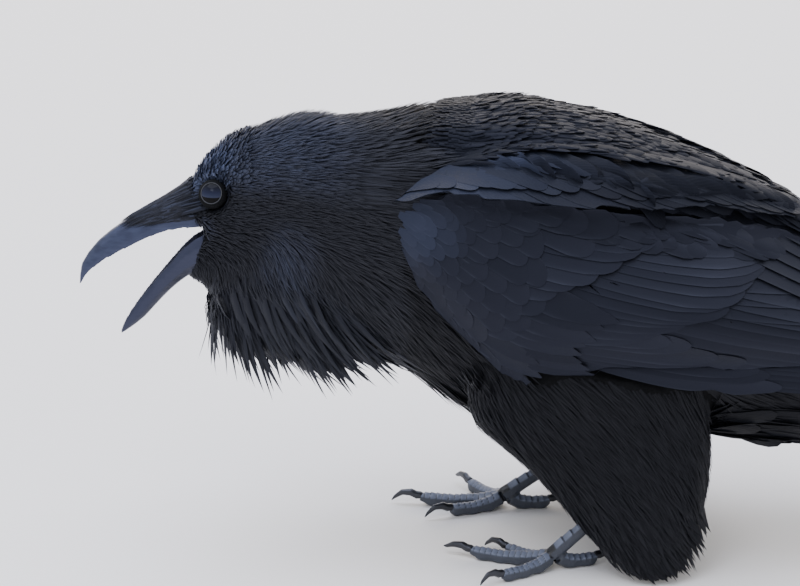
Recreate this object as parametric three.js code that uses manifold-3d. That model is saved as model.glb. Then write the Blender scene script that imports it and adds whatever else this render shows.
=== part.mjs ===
// A common raven (Corvus corax), life size, standing crouched with its neck stretched forward
// and its bill open in a call. Millimetres. -X is forward (the bill), -Y is the bird's left side,
// +Z is up, and z = 0 is the floor.
// Each feathered part is the outer shape of its plumage, out to the feather tips. Bill, eyes,
// shanks, toes and claws are bare parts. Parts meet with a thin gap, so that no two share space.
import * as THREE from "three";
import { mergeVertices } from "three/addons/utils/BufferGeometryUtils.js";
import Module from "manifold-3d";

const wasm = await Module();
wasm.setup();

// ---------------------------------------------------------------- driving dimensions
const GAP = 0.3; // between parts that meet
const SIDES = { left: -1, right: 1 }; // sign of y
const HEAD_ROLL = THREE.MathUtils.degToRad(-12); // the head leans its crown to the bird's right
const ROLL_AXIS_Z = 165; // the lean turns about a line along X at this height
const ROLL_FROM_X = -140; // the neck is upright here
const ROLL_FULL_X = -215; // and leans fully from here forward

const EYE = { x: -235, y: 12.2, z: 180.4, r: 7.2 };
const TARSUS = { length: 64, front: 3.6, side: 2.6 }; // half-depths
const FOOT_JOINT_Z = 8.5; // height of the joint where shank and toes meet
// Each foot: its joint on the floor plan; the shank's pitch above the floor and how far its heel
// lies outwards of the joint; and for each toe its heading from straight ahead, positive outwards,
// in degrees, with its claw tip's height.
const FEET = {
  left: {
    x: -66,
    y: -53,
    pitch: THREE.MathUtils.degToRad(42),
    heelOut: 0,
    toes: { middle: [-20, 4.5], inner: [-39, 1.4], outer: [35, 1.2], hind: [198, 1.4] },
  },
  right: {
    x: -89,
    y: 29,
    pitch: THREE.MathUtils.degToRad(31),
    heelOut: 8,
    toes: { middle: [8, 1.2], inner: [-21, 1.2], outer: [56, 4], hind: [174, 1.4] },
  },
};
// Toes: length to the claw's root, half-width, and the claw's reach
const TOES = {
  middle: { length: 44, half: 4.1, claw: 14.5 },
  inner: { length: 30, half: 3.7, claw: 14 },
  outer: { length: 32, half: 3.6, claw: 13 },
  hind: { length: 23, half: 4.2, claw: 19 },
};

// ---------------------------------------------------------------- materials
function finish(color, roughness, metalness = 0) {
  return new THREE.MeshStandardMaterial({ color, roughness, metalness });
}
const plumage = finish("#24262c", 0.6);
const flightPlumage = finish("#262a36", 0.48);
const horn = finish("#2b2e38", 0.35);
const tongueSkin = finish("#4a3a3c", 0.5);
const eyeGlass = finish("#15100e", 0.08);
const legScale = finish("#34363d", 0.5);

// ---------------------------------------------------------------- small tools
const v3 = (x, y, z) => new THREE.Vector3(x, y, z);
const lerp = THREE.MathUtils.lerp;
const clamp = THREE.MathUtils.clamp;
const smooth = (t, from = 0, to = 1) => THREE.MathUtils.smoothstep(t, from, to);

// A smooth function through a short list of [at, value, value, ...] rows: each value keeps its
// row's height, and slopes are limited so that the curve doesn't swing past a row.
function track(rows) {
  const slopes = (c) => {
    const steps = rows.slice(1).map((r, i) => (r[c] - rows[i][c]) / (r[0] - rows[i][0]));
    return rows.map((_, i) => {
      const before = steps[i - 1] ?? steps[i];
      const after = steps[i] ?? before;
      return before * after <= 0 ? 0 : (2 * before * after) / (before + after);
    });
  };
  const slopeOf = rows[0].map((_, c) => (c ? slopes(c) : null));
  return (at) => {
    const x = clamp(at, rows[0][0], rows.at(-1)[0]);
    let i = rows.findIndex((r) => r[0] >= x) - 1;
    if (i < 0) i = 0;
    const h = rows[i + 1][0] - rows[i][0];
    const t = (x - rows[i][0]) / h;
    return rows[i].slice(1).map((_, k) => {
      const c = k + 1;
      const a = rows[i][c];
      const b = rows[i + 1][c];
      const da = slopeOf[c][i] * h;
      const db = slopeOf[c][i + 1] * h;
      return a + t * (da + t * (3 * (b - a) - 2 * da - db + t * (2 * (a - b) + da + db)));
    });
  };
}

// Points spread from a to b, `count` steps, pulled towards both ends by `ease` from 0 to 1
const spread = (a, b, count, ease = 0) =>
  Array.from({ length: count + 1 }, (_, i) => {
    const t = i / count;
    return lerp(a, b, lerp(t, (1 - Math.cos(Math.PI * t)) / 2, ease));
  });

// A closed solid through rings of equal point counts, with a fan at each end
function loft(rings) {
  const n = rings[0].length;
  const points = rings.flat();
  const ends = [rings[0], rings.at(-1)].map((ring) =>
    ring.reduce((sum, p) => sum.add(p), v3(0, 0, 0)).divideScalar(n),
  );
  const first = points.length;
  points.push(...ends);
  const index = [];
  rings.slice(1).forEach((_, r) => {
    for (let i = 0; i < n; i++) {
      const j = (i + 1) % n;
      const [a, b, c, d] = [r * n + i, r * n + j, (r + 1) * n + j, (r + 1) * n + i];
      index.push(a, b, c, a, c, d);
    }
  });
  const last = (rings.length - 1) * n;
  for (let i = 0; i < n; i++) {
    const j = (i + 1) % n;
    index.push(first, j, i, first + 1, last + i, last + j);
  }
  return manifoldOf(points, index);
}

// A closed solid between two grids of points, such as the outer and inner face of a folded wing
function shell(outer, inner) {
  const rows = outer.length;
  const cols = outer[0].length;
  const points = [...outer.flat(), ...inner.flat()];
  const at = (face, r, c) => (face * rows + r) * cols + c;
  const index = [];
  const quad = (a, b, c, d) => index.push(a, b, c, a, c, d);
  for (let r = 0; r < rows - 1; r++) {
    for (let c = 0; c < cols - 1; c++) {
      quad(at(0, r, c), at(0, r, c + 1), at(0, r + 1, c + 1), at(0, r + 1, c));
      quad(at(1, r, c), at(1, r + 1, c), at(1, r + 1, c + 1), at(1, r, c + 1));
    }
  }
  for (let r = 0; r < rows - 1; r++) {
    quad(at(0, r, 0), at(0, r + 1, 0), at(1, r + 1, 0), at(1, r, 0));
    quad(at(0, r + 1, cols - 1), at(0, r, cols - 1), at(1, r, cols - 1), at(1, r + 1, cols - 1));
  }
  for (let c = 0; c < cols - 1; c++) {
    quad(at(0, 0, c + 1), at(0, 0, c), at(1, 0, c), at(1, 0, c + 1));
    quad(at(0, rows - 1, c), at(0, rows - 1, c + 1), at(1, rows - 1, c + 1), at(1, rows - 1, c));
  }
  return manifoldOf(points, index);
}

function manifoldOf(points, index) {
  const make = (order) => {
    const mesh = new wasm.Mesh({
      numProp: 3,
      vertProperties: new Float32Array(points.flatMap((p) => [p.x, p.y, p.z])),
      triVerts: new Uint32Array(order),
    });
    return new wasm.Manifold(mesh);
  };
  const made = make(index);
  if (made.volume() > 0) return made;
  const turned = index.slice();
  for (let i = 0; i < turned.length; i += 3)
    [turned[i + 1], turned[i + 2]] = [turned[i + 2], turned[i + 1]];
  return make(turned);
}

// A three.js geometry as a solid
function solidOf(geometry) {
  const bare = geometry.clone();
  bare.deleteAttribute("normal");
  bare.deleteAttribute("uv");
  const merged = mergeVertices(bare, 1e-3);
  const position = merged.getAttribute("position");
  const points = Array.from({ length: position.count }, (_, i) =>
    v3().fromBufferAttribute(position, i),
  );
  return manifoldOf(points, Array.from(merged.index.array));
}

// The largest piece of a solid that a cut has left in several
function largest(solid) {
  return solid.decompose().reduce((a, b) => (a.volume() > b.volume() ? a : b));
}

const union = (solids) => solids.reduce((a, b) => a.add(b));
const without = (solid, ...cutters) => cutters.reduce((a, b) => a.subtract(b), solid);

// The half space on the far side of a plane, as one big block. `normal` points into the block.
function beyond(point, normal) {
  const size = 900;
  const box = new THREE.BoxGeometry(size, size, size);
  box.translate(0, 0, size / 2);
  const turn = new THREE.Quaternion().setFromUnitVectors(v3(0, 0, 1), normal.clone().normalize());
  box.applyQuaternion(turn);
  box.translate(point.x, point.y, point.z);
  return solidOf(box);
}

const bird = new THREE.Group();
bird.name = "raven";

function addPart(name, solid, material) {
  const mesh = largest(solid).getMesh();
  const stride = mesh.numProp;
  const positions = new Float32Array(mesh.numVert * 3);
  for (let i = 0; i < mesh.numVert; i++)
    positions.set(mesh.vertProperties.subarray(i * stride, i * stride + 3), i * 3);
  const geometry = new THREE.BufferGeometry();
  geometry.setAttribute("position", new THREE.BufferAttribute(positions, 3));
  geometry.setIndex(new THREE.BufferAttribute(mesh.triVerts, 1));
  geometry.computeVertexNormals();
  const part = new THREE.Mesh(geometry, material.clone());
  part.name = name;
  bird.add(part);
}

// ---------------------------------------------------------------- body: head, neck and trunk
// Where the neck and head lean: a point of the upright bird, turned about the lean's axis by its
// share at that x
function leaned(p) {
  const angle = HEAD_ROLL * smooth(-p.x, -ROLL_FROM_X, -ROLL_FULL_X);
  const [c, s] = [Math.cos(angle), Math.sin(angle)];
  const z = p.z - ROLL_AXIS_Z;
  return v3(p.x, p.y * c - z * s, ROLL_AXIS_Z + p.y * s + z * c);
}

// Stations along x: top, bottom, half-width, height of the widest point, and squareness of the
// upper and of the lower half
const bodyAt = track([
  [-252, 182, 139, 9.5, 161, 2.0, 2.0], // the feathers' edge round the bill
  [-247, 189.5, 136, 13.5, 163, 2.0, 2.0],
  [-241, 196.5, 132, 17, 166, 2.0, 2.1], // gape
  [-234, 204, 127, 20.5, 168, 2.0, 2.1], // eyes
  [-222, 211, 121, 24.5, 168, 2.0, 2.1],
  [-206, 217.3, 114, 28, 165, 2.0, 2.1], // crown
  [-190, 220.8, 107, 31, 161, 2.0, 2.1],
  [-168, 221, 98, 37, 157, 2.1, 2.1], // nape
  [-142, 223, 90, 47, 155, 2.15, 2.1],
  [-118, 227, 77, 56, 153, 2.25, 2.1],
  [-90, 227.3, 66, 61, 152, 2.35, 2.1], // shoulders
  [-60, 223, 61, 63, 150, 2.35, 2.1],
  [-23, 212, 57, 61, 145, 2.3, 2.1],
  [2, 202, 55, 57, 140, 2.2, 2.1],
  [26, 191, 52, 50, 133, 2.1, 2.1],
  [42, 183, 50, 45, 126, 2.0, 2.0], // vent
  [62, 171, 49, 39, 116, 2.0, 2.0], // rump above, tail coverts below
  [90, 147, 49, 31, 102, 2.0, 2.0],
  [128, 115, 56, 23, 89, 2.0, 2.0],
  [152, 92, 67, 16, 81, 2.0, 2.0],
  [168, 80, 73, 9, 77, 2.0, 2.0],
]);
const BODY_FRONT = -252;
const BODY_BACK = 168;
const BODY_RINGS = 24;
const BODY_POINTS = 16;

function bodyLoft(grow) {
  const xs = spread(BODY_FRONT - grow, BODY_BACK + grow, BODY_RINGS, 0.35);
  return loft(
    xs.map((x) => {
      const [top, bottom, half, mid, squareTop, squareBottom] = bodyAt(x);
      return Array.from({ length: BODY_POINTS }, (_, i) => {
        const a = (2 * Math.PI * i) / BODY_POINTS;
        const upper = Math.sin(a) >= 0;
        const power = 2 / (upper ? squareTop : squareBottom);
        const y = (half + grow) * Math.sign(Math.cos(a)) * Math.abs(Math.cos(a)) ** power;
        const reach = upper ? top + grow - mid : bottom - grow - mid;
        return leaned(v3(x, y, mid + reach * Math.abs(Math.sin(a)) ** power));
      });
    }),
  );
}

// The open mouth: a wedge between palate and mandible that narrows to the throat
const mouthAt = track([
  [-270, 167, 138, 21],
  [-252, 163.2, 150.5, 20],
  [-246, 163.4, 156.8, 20],
  [-241.8, 163.4, 159.8, 18], // the corners of the gape lie on the cheeks
  [-239.5, 163.2, 159.4, 11],
  [-232, 161.5, 157.5, 8],
  [-222, 158, 155, 4],
]);
function mouthSolid(grow) {
  return loft(
    [-270, -252, -246, -241.8, -239.5, -232, -222 + grow].map((x) => {
      const [top, bottom, half] = mouthAt(x);
      const round = (value) => Math.sign(value) * Math.abs(value) ** 0.45;
      return Array.from({ length: 12 }, (_, i) => {
        const a = (2 * Math.PI * i) / 12;
        const high = (top - bottom) / 2 + grow;
        const y = (half + grow) * round(Math.cos(a));
        return leaned(v3(x, y, (top + bottom) / 2 + high * round(Math.sin(a))));
      });
    }),
  );
}

// ---------------------------------------------------------------- bill
// Each half of the bill is a horn blade along its own side profile: the ridge (culmen or keel),
// the cutting edge, the half-width and the depth of the hollow inside. `edge` says on which side
// of the ridge the cutting edge lies. A filled blade has no hollow: it cuts the room for the bill
// out of the head.
const BILL_RINGS = 12;
function billBlade(rows, edge, grow, filled) {
  const at = track(rows);
  return loft(
    spread(rows[0][0], rows.at(-1)[0], BILL_RINGS, 0.6).map((s) => {
      const [ridgeX, ridgeZ, cutX, cutZ, half, hollow] = at(s);
      const back = s > rows[0][0] ? 0 : 2 * grow; // the root end
      const ridge = v3(ridgeX + back, 0, ridgeZ + edge * grow);
      const cut = v3(cutX + back, 0, cutZ - edge * grow);
      const inward = ridge.clone().sub(cut).normalize();
      const w = half + grow;
      const deep = filled ? 0.01 : hollow;
      const outer = [
        [0.42, 0.06],
        [0.8, 0.3],
        [1, 0.68],
        [0.92, 1],
      ].map(([y, share]) => ridge.clone().lerp(cut, share).setY(y * w));
      const inner = [
        [0.68, 0.6],
        [0.38, 0.95],
      ].map(([y, depth]) => cut.clone().addScaledVector(inward, depth * deep).setY(y * w));
      const flank = [...outer, ...inner];
      const across = flank
        .slice()
        .reverse()
        .map((p) => v3(p.x, -p.y, p.z));
      return [ridge, ...flank, cut.clone().addScaledVector(inward, deep), ...across].map(leaned);
    }),
  );
}
// Upper: from under the feathers to the hooked tip
const upperRows = [
  // along, ridge x and z, cutting edge x and z, half-width, hollow
  [0, -244, 183.5, -244, 163, 11.5, 5],
  [8, -252, 181.4, -252, 162.4, 10.9, 5],
  [18, -262, 176.2, -262, 160, 9.6, 4.6],
  [30, -273.7, 169.8, -273.5, 154.9, 8, 3.8],
  [39, -282.8, 164, -281, 151, 6.7, 3],
  [49, -291.8, 157, -288.5, 146.8, 5.2, 2.2],
  [57, -298, 149.8, -294.5, 142.6, 3.8, 1.3],
  [64, -301.8, 142.4, -298.8, 138.6, 2.2, 0.6],
  [70, -302.6, 133.8, -301.6, 133.8, 0.6, 0.1],
];
// Lower: opened about 40 degrees below the upper
const lowerRows = [
  [0, -236, 141.5, -239.5, 161, 12.2, 6],
  [8, -245.5, 139.2, -246.5, 157, 11.2, 5.8],
  [16, -251, 136, -254, 149.3, 9.8, 5],
  [25, -257, 131, -260.6, 141.8, 8.5, 4.4],
  [35, -263.6, 124.2, -267.6, 133.4, 6.9, 3.6],
  [45, -270, 117.2, -274.1, 124.8, 5.2, 2.6],
  [53, -275.8, 112.6, -278.8, 117.8, 3.6, 1.5],
  [59, -279.6, 110, -281.2, 112.6, 2, 0.6],
  [62, -281.5, 108.7, -282, 109.9, 0.7, 0.1],
];
const upperBill = (grow, filled = false) => billBlade(upperRows, 1, grow, filled);
const lowerBill = (grow, filled = false) => billBlade(lowerRows, -1, grow, filled);

// The tongue lies low in the lower bill
const tongueRows = track([
  [0, -232, 157, 4.6, 1.6],
  [12, -243, 153.2, 5.2, 2.2],
  [24, -252.5, 144.6, 4.6, 2],
  [34, -260, 137.6, 3.2, 1.4],
  [38, -263, 134.6, 1.4, 0.8],
]);
const tongueSolid = loft(
  spread(0, 38, 8).map((s) => {
    const [x, z, half, thick] = tongueRows(s);
    return Array.from({ length: 10 }, (_, i) => {
      const a = (2 * Math.PI * i) / 10;
      return leaned(v3(x, half * Math.cos(a), z + thick * Math.sin(a)));
    });
  }),
);

// ---------------------------------------------------------------- eyes
function eyeball(side, grow) {
  const ball = new THREE.SphereGeometry(EYE.r + grow, 12, 8);
  const at = leaned(v3(EYE.x, side * EYE.y, EYE.z));
  ball.translate(at.x, at.y, at.z);
  return solidOf(ball);
}

// ---------------------------------------------------------------- throat hackles
// A beard of plumage under the throat, and long pointed hackles that hang from it and curve back
const beardAt = track([
  // x, top, bottom, half-width, height of the hackles' tips
  [-245, 139, 131, 6, 121],
  [-238, 135, 124, 11, 114],
  [-231, 131, 116, 15, 101],
  [-225, 128, 109, 18, 88],
  [-207, 120, 98.5, 22, 84],
  [-190, 114, 94, 25, 82],
  [-175, 109, 92.5, 28, 86],
  [-160, 105, 92, 29, 88],
  [-144, 102, 94, 27, 87],
]);
function beardLoft() {
  return loft(
    spread(-245, -144, 7).map((x) => {
      const [top, bottom, half] = beardAt(x);
      return Array.from({ length: 10 }, (_, i) => {
        const a = (2 * Math.PI * i) / 10;
        const z = lerp(bottom, top, (1 + Math.sin(a)) / 2);
        return leaned(v3(x, half * Math.cos(a), z));
      });
    }),
  );
}
const HACKLES_PER_ROW = 5;
const HACKLE_ROWS = [-0.62, 0, 0.62]; // share of the beard's half-width
function hackle(t, row) {
  const root = lerp(-240, -176, t);
  const sweep = lerp(3, 30, t ** 1.3); // how far the tip trails behind the root
  const [top, bottom, half] = beardAt(root);
  const tipZ = beardAt(root + sweep)[3] + 2.5 * (1 - Math.abs(row) / 0.62);
  const from = v3(root, row * half, lerp(top, bottom, 0.5));
  const drop = from.z - tipZ;
  const rings = spread(0, 1, 3).map((s) => {
    const z = from.z - drop * s ** 0.92;
    const centre = v3(from.x + sweep * s ** 1.6, from.y * (1 + 0.25 * s), z);
    const wide = lerp(4.4, 0.45, s ** 1.4);
    const angle = Math.atan2(1.6 * sweep * s ** 0.6, drop);
    return [0, 1, 2, 3].map((k) => {
      const a = (Math.PI * k) / 2;
      const along = v3(Math.cos(angle), 0, Math.sin(angle)).multiplyScalar(wide * 0.55 * Math.cos(a));
      return leaned(centre.clone().add(along).add(v3(0, wide * Math.sin(a), 0)));
    });
  });
  return loft(rings);
}
const hackles = [];
for (const row of HACKLE_ROWS)
  for (let i = 0; i < HACKLES_PER_ROW; i++)
    hackles.push(hackle((i + 0.5 * Math.abs(row)) / HACKLES_PER_ROW, row));

// ---------------------------------------------------------------- folded wings
// The wing's outer face over the side of the body: how far it lies from the midline at x and at a
// share from its upper edge (0) to its lower edge (1)
const wingAt = track([
  // x, upper edge z, lower edge z, y of upper edge, y of lower edge, bulge
  [-146, 188, 180, 57, 58, 0.5],
  [-143, 190, 168, 57, 60, 3],
  [-132, 196, 149, 57, 63, 6],
  [-112, 198.5, 127, 57, 65, 9],
  [-79, 195, 104.5, 57, 66, 12],
  [-45, 190, 109.5, 55, 68, 12],
  [0, 184, 108.5, 46, 65, 13],
  [30, 177, 107.5, 35, 61, 13],
  [50, 169, 106.5, 26, 57, 12],
  [100, 141, 106, 18, 45, 8],
  [135, 122, 107, 12, 34, 5],
  [152, 116, 112, 9, 26, 3],
]);
const WING_FRONT = -146;
const WING_BACK = 152;
// Alula and primary coverts end in two blunt points on the wing's lower edge
const coverPoint = (x, tip, length, depth) =>
  x < tip ? depth * smooth(x, tip - length, tip) : depth * (1 - smooth(x, tip, tip + 2.5));

function wingShell(side, grow) {
  const xs = [
    ...spread(WING_FRONT - grow, -80, 5, 0.1),
    ...spread(-76, -47, 2),
    ...spread(-43, WING_BACK + grow, 6),
  ];
  const face = (depthIn) =>
    xs.map((x) => {
      const [top, low, yTop, yLow, bulge] = wingAt(x);
      const bottom = low + 3 - coverPoint(x, -79, 40, 3) - coverPoint(x, -46, 22, 3);
      return spread(0, 1, 5, 0.3).map((v) => {
        const edge = 4 * v * (1 - v);
        const y = lerp(yTop, yLow, smooth(v, 0, 0.75)) + bulge * Math.sin(Math.PI * v) ** 0.8;
        const inset = depthIn * (1 + 5.5 * edge ** 0.6);
        const z = lerp(top + grow, bottom - grow, v);
        return v3(x, side * (y + (depthIn ? -inset - grow : grow)), z);
      });
    });
  return shell(face(0), face(1.2));
}

// The long primaries lie under the secondaries, show along the wing's lower edge, and reach back
// over the tail
const primariesAt = track([
  // x, upper z, lower z, y upper, y lower
  [-52, 122, 110, 59, 63],
  [-30, 126, 104, 58, 65],
  [0, 128, 99, 56, 64],
  [50, 126, 95.5, 47, 57],
  [100, 122, 91, 38, 47],
  [150, 112, 81.5, 22, 38],
  [200, 94, 67, 11, 29],
  [240, 76, 55.5, 6, 21],
  [265, 64, 50, 4.5, 15],
  [277, 56.5, 50.5, 4.5, 10],
]);
function primariesShell(side, grow) {
  const xs = [...spread(-52 - grow, 150, 5), ...spread(180, 277 + grow, 5)];
  const face = (inside) =>
    xs.map((x) => {
      const [top, low, yTop, yLow] = primariesAt(x);
      return spread(0, 1, 4).map((v) => {
        const y = lerp(yTop, yLow, v) + 3.5 * Math.sin(Math.PI * v);
        const thick = 1.1 + 4.2 * Math.sin(Math.PI * v) * (1 - smooth(x, 60, 290));
        return v3(x, side * (y + (inside ? -thick - grow : grow)), lerp(top + grow, low - grow, v));
      });
    });
  return shell(face(false), face(true));
}

// The scapulars lie over the wing's upper edge as one long fold, from the shoulder to the rump.
// The fold starts flush with the back and lifts off over the wing.
const scapularsAt = track([
  // x, y and z of the inner edge, y and z of the outer edge
  [-143, 56, 196, 60, 196],
  [-132, 48, 204, 62, 202],
  [-120, 42.5, 209, 65, 204.5],
  [-105, 38.5, 214, 68, 203.5],
  [-88, 36, 216.5, 69, 200.5],
  [-60, 33, 215.5, 67, 197],
  [-30, 27, 210, 61, 193.5],
  [0, 19, 201.3, 48, 190],
  [32, 10, 189, 34, 183.5],
  [50, 4.5, 180.5, 23, 176],
  [57, 4, 176.5, 18, 172.5],
]);
function scapularsShell(side, grow) {
  const xs = spread(-143 - grow, 57 + grow, 13, 0.2);
  const face = (inside) =>
    xs.map((x) => {
      const [yIn, zIn, yOut, zOut] = scapularsAt(x);
      const scallop = 1.5 * Math.sin((x + 143) / 7.5) * smooth(x, -120, -90);
      return spread(0, 1, 4).map((v) => {
        const y = lerp(yIn - grow, yOut + grow, v ** 0.85);
        const z = lerp(zIn, zOut - grow, v ** 1.25) + scallop * v;
        const thick = 1.8 + 3.4 * Math.sin(Math.PI * v) ** 0.7;
        const out = inside ? -thick - grow : grow;
        return v3(x, side * (y + out * (0.2 + 0.7 * v)), z + out * (1 - 0.7 * v));
      });
    });
  return shell(face(false), face(true));
}

// ---------------------------------------------------------------- tail
// Twelve feathers folded into a wedge: the middle pair is longest, and each further pair ends
// sooner
const TAIL = {
  root: v3(88, 0, 98),
  length: 221,
  slope: THREE.MathUtils.degToRad(15.5),
  rootHalf: 17,
  tipHalf: 41,
};
const TAIL_FEATHERS = 12;
function tailShell(grow) {
  const columns = spread(-1, 1, 2 * TAIL_FEATHERS);
  const face = (inside) =>
    columns.map((q) => {
      const feather = clamp(Math.floor(((q + 1) / 2) * TAIL_FEATHERS), 0, TAIL_FEATHERS - 1);
      const middleOf = ((feather + 0.5) / TAIL_FEATHERS) * 2 - 1;
      const onEdge = Math.abs(q - middleOf) > 0.5 / TAIL_FEATHERS ? 1 : 0;
      const reach = TAIL.length - 44 * Math.abs(middleOf) ** 1.4 - 5 * onEdge + grow;
      return spread(0, 1, 4).map((u) => {
        const along = lerp(-grow, reach, u);
        const widening = smooth(along, 0, TAIL.length);
        const half = lerp(TAIL.rootHalf, TAIL.tipHalf, widening) + grow;
        const arch = 7 * (1 - q * q) - 7;
        const thick = lerp(7, 1.1, smooth(u, 0, 0.85)) * (1 - 0.6 * q * q);
        const x = TAIL.root.x + along * Math.cos(TAIL.slope);
        const z = TAIL.root.z - along * Math.sin(TAIL.slope) + arch;
        return v3(x, q * half, z + (inside ? -thick - grow : grow));
      });
    });
  return shell(face(false), face(true));
}

// ---------------------------------------------------------------- legs
// The feathered thigh ("trousers") hangs from the flank over the heel. Stations up z: front x,
// back x, inner y, outer y.
const thighAt = track([
  [0.8, -21, -13, 72, 78],
  [6, -32, -6, 60, 78],
  [13, -42, 1, 50, 78],
  [25, -55, 8, 39, 77],
  [40, -68, 12, 29, 76],
  [52, -80, 14, 23, 74],
  [62, -92, 14, 19, 72],
  [74, -108, 14, 17, 69],
  [84, -114, 13, 17, 67],
  [100, -108, 11, 17, 65],
  [130, -88, 2, 22, 60],
]);
const THIGH_POINTS = 10;
function thighLoft(side, foot) {
  return loft(
    [0.8, 6, 13, 25, 40, 52, 62, 74, 84, 104, 130].map((z) => {
      const [front, back, inner, outer] = thighAt(z);
      const shift = (foot.x - FEET.left.x) * 0.6 * (1 - smooth(z, 20, 120));
      return Array.from({ length: THIGH_POINTS }, (_, i) => {
        const a = (2 * Math.PI * i) / THIGH_POINTS;
        const fore = Math.sign(Math.cos(a)) * Math.abs(Math.cos(a)) ** 0.85;
        const x = lerp(front, back, (1 + fore) / 2);
        const y = lerp(inner, outer, (1 + Math.sin(a)) / 2);
        return v3(x + shift, side * y, z);
      });
    }),
  );
}

// A limb as a row of rings: points along its middle line, half-height and half-width at each
function limb(centres, halves, points = 6) {
  const curve = new THREE.CatmullRomCurve3(centres);
  const count = centres.length - 1;
  return loft(
    spread(0, 1, count).map((t) => {
      const at = curve.getPoint(t);
      const ahead = curve.getTangent(t);
      const across = v3(-ahead.y, ahead.x, 0).normalize();
      const up = across.clone().cross(ahead).normalize().multiplyScalar(-1);
      const i = Math.min(Math.floor(t * count), count - 1);
      const share = t * count - i;
      const high = lerp(halves[i][0], halves[i + 1][0], share);
      const wide = lerp(halves[i][1], halves[i + 1][1], share);
      return Array.from({ length: points }, (_, k) => {
        const a = (2 * Math.PI * (k + 0.5)) / points;
        return at
          .clone()
          .addScaledVector(across, wide * Math.cos(a))
          .addScaledVector(up, high * Math.sin(a));
      });
    }),
  );
}

function heelOf(foot, side) {
  const run = TARSUS.length * Math.cos(foot.pitch);
  const rise = TARSUS.length * Math.sin(foot.pitch);
  return v3(foot.x + run, foot.y + side * foot.heelOut, FOOT_JOINT_Z + rise);
}
function tarsusLimb(foot, side, grow) {
  const low = v3(foot.x, foot.y, FOOT_JOINT_Z);
  const high = heelOf(foot, side);
  const { front, side: flank } = TARSUS;
  const thick = (a, b) => [a + grow, b + grow];
  const along = (t) => low.clone().lerp(high, t);
  return limb(
    [along(-0.02 - grow / TARSUS.length), along(0.1), along(0.35), along(0.75), along(0.97), along(1.05)],
    [
      thick(4.2, 4.4),
      thick(front + 0.6, flank + 1.2),
      thick(front, flank),
      thick(front, flank + 0.2),
      thick(5, 4),
      thick(3.2, 2.8),
    ],
  );
}

// One toe: it leaves the joint, lies along the floor, and lifts at its last joint. Its pads are
// cut flat at the floor.
const TOE_Z = 2.7;
function toeLine(foot, side, degrees) {
  const heading = THREE.MathUtils.degToRad(degrees);
  const ahead = v3(-Math.cos(heading), side * Math.sin(heading), 0);
  const from = v3(foot.x, foot.y, 0);
  return (reach, z) => from.clone().addScaledVector(ahead, reach).setZ(z);
}
function toeLimb(foot, side, toeName, grow) {
  const at = toeLine(foot, side, foot.toes[toeName][0]);
  const { length, half } = TOES[toeName];
  const w = half + grow;
  return limb(
    [
      at(2.5 - grow, FOOT_JOINT_Z - 2.2),
      at(0.3 * length, TOE_Z + 1),
      at(0.6 * length, TOE_Z + 0.1),
      at(0.88 * length, TOE_Z + 0.5),
      at(length - 0.5, TOE_Z + 1.5),
    ],
    [
      [4.2 + grow, w + 0.6],
      [4 + grow, w],
      [3.6 + grow, w - 0.2],
      [3.6 + grow, w - 0.3],
      [2.4 + grow, w - 1.3],
    ],
  );
}
function clawLimb(foot, side, toeName) {
  const [heading, tipZ] = foot.toes[toeName];
  const at = toeLine(foot, side, heading);
  const { length, claw, half } = TOES[toeName];
  const w = half - 1.5;
  return limb(
    [
      at(length + 0.5, TOE_Z + 1.8),
      at(length + 0.3 * claw, TOE_Z + 3.6),
      at(length + 0.62 * claw, TOE_Z + 3.4),
      at(length + 0.88 * claw, lerp(TOE_Z + 2, tipZ, 0.4)),
      at(length + claw, tipZ),
    ],
    [
      [2.2, w],
      [2.2, w - 0.3],
      [1.7, w - 0.8],
      [1.1, 0.8],
      [0.4, 0.35],
    ],
  );
}

// ---------------------------------------------------------------- assembly
const floor = beyond(v3(0, 0, 0), v3(0, 0, -1));
const eyePockets = Object.values(SIDES).map((side) => eyeball(side, GAP));
const scapularCuts = Object.values(SIDES).map((side) => scapularsShell(side, GAP));
const wingCuts = Object.values(SIDES).map((side) => wingShell(side, GAP));
const primaryCuts = Object.values(SIDES).map((side) => primariesShell(side, GAP));

// The body is modelled whole and parted by thin cuts behind the cheeks and before the shoulders
const billRoom = [upperBill(GAP, true), lowerBill(GAP, true)];
const body = without(bodyLoft(0), mouthSolid(0), ...billRoom, ...eyePockets);
const CUTS = [
  { at: v3(-197, 0, 165), normal: v3(1, 0, 0.22) }, // head from neck
  { at: v3(-146, 0, 150), normal: v3(1, 0, 0.12) }, // neck from trunk
];
const behind = CUTS.map(({ at, normal }) => beyond(at, normal));
const before = CUTS.map(({ at, normal }) => {
  const n = normal.clone().normalize();
  return beyond(at.clone().addScaledVector(n, GAP), n.clone().negate());
});

addPart("head", without(body, behind[0]), plumage);
addPart("neck", without(body, before[0], behind[1]), plumage);
addPart(
  "trunk",
  without(body, before[1], tailShell(GAP), ...scapularCuts, ...wingCuts, ...primaryCuts),
  plumage,
);
addPart("bill_upper", upperBill(0), horn);
addPart("bill_lower", without(lowerBill(0), upperBill(GAP, true)), horn);
const palate = without(bodyLoft(GAP), mouthSolid(-GAP));
addPart("tongue", without(tongueSolid, palate, lowerBill(GAP)), tongueSkin);
const beard = union([beardLoft(), ...hackles]);
addPart("throat_hackles", without(beard, bodyLoft(GAP), lowerBill(GAP, true)), plumage);
addPart("tail", without(tailShell(0), ...primaryCuts), flightPlumage);

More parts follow.
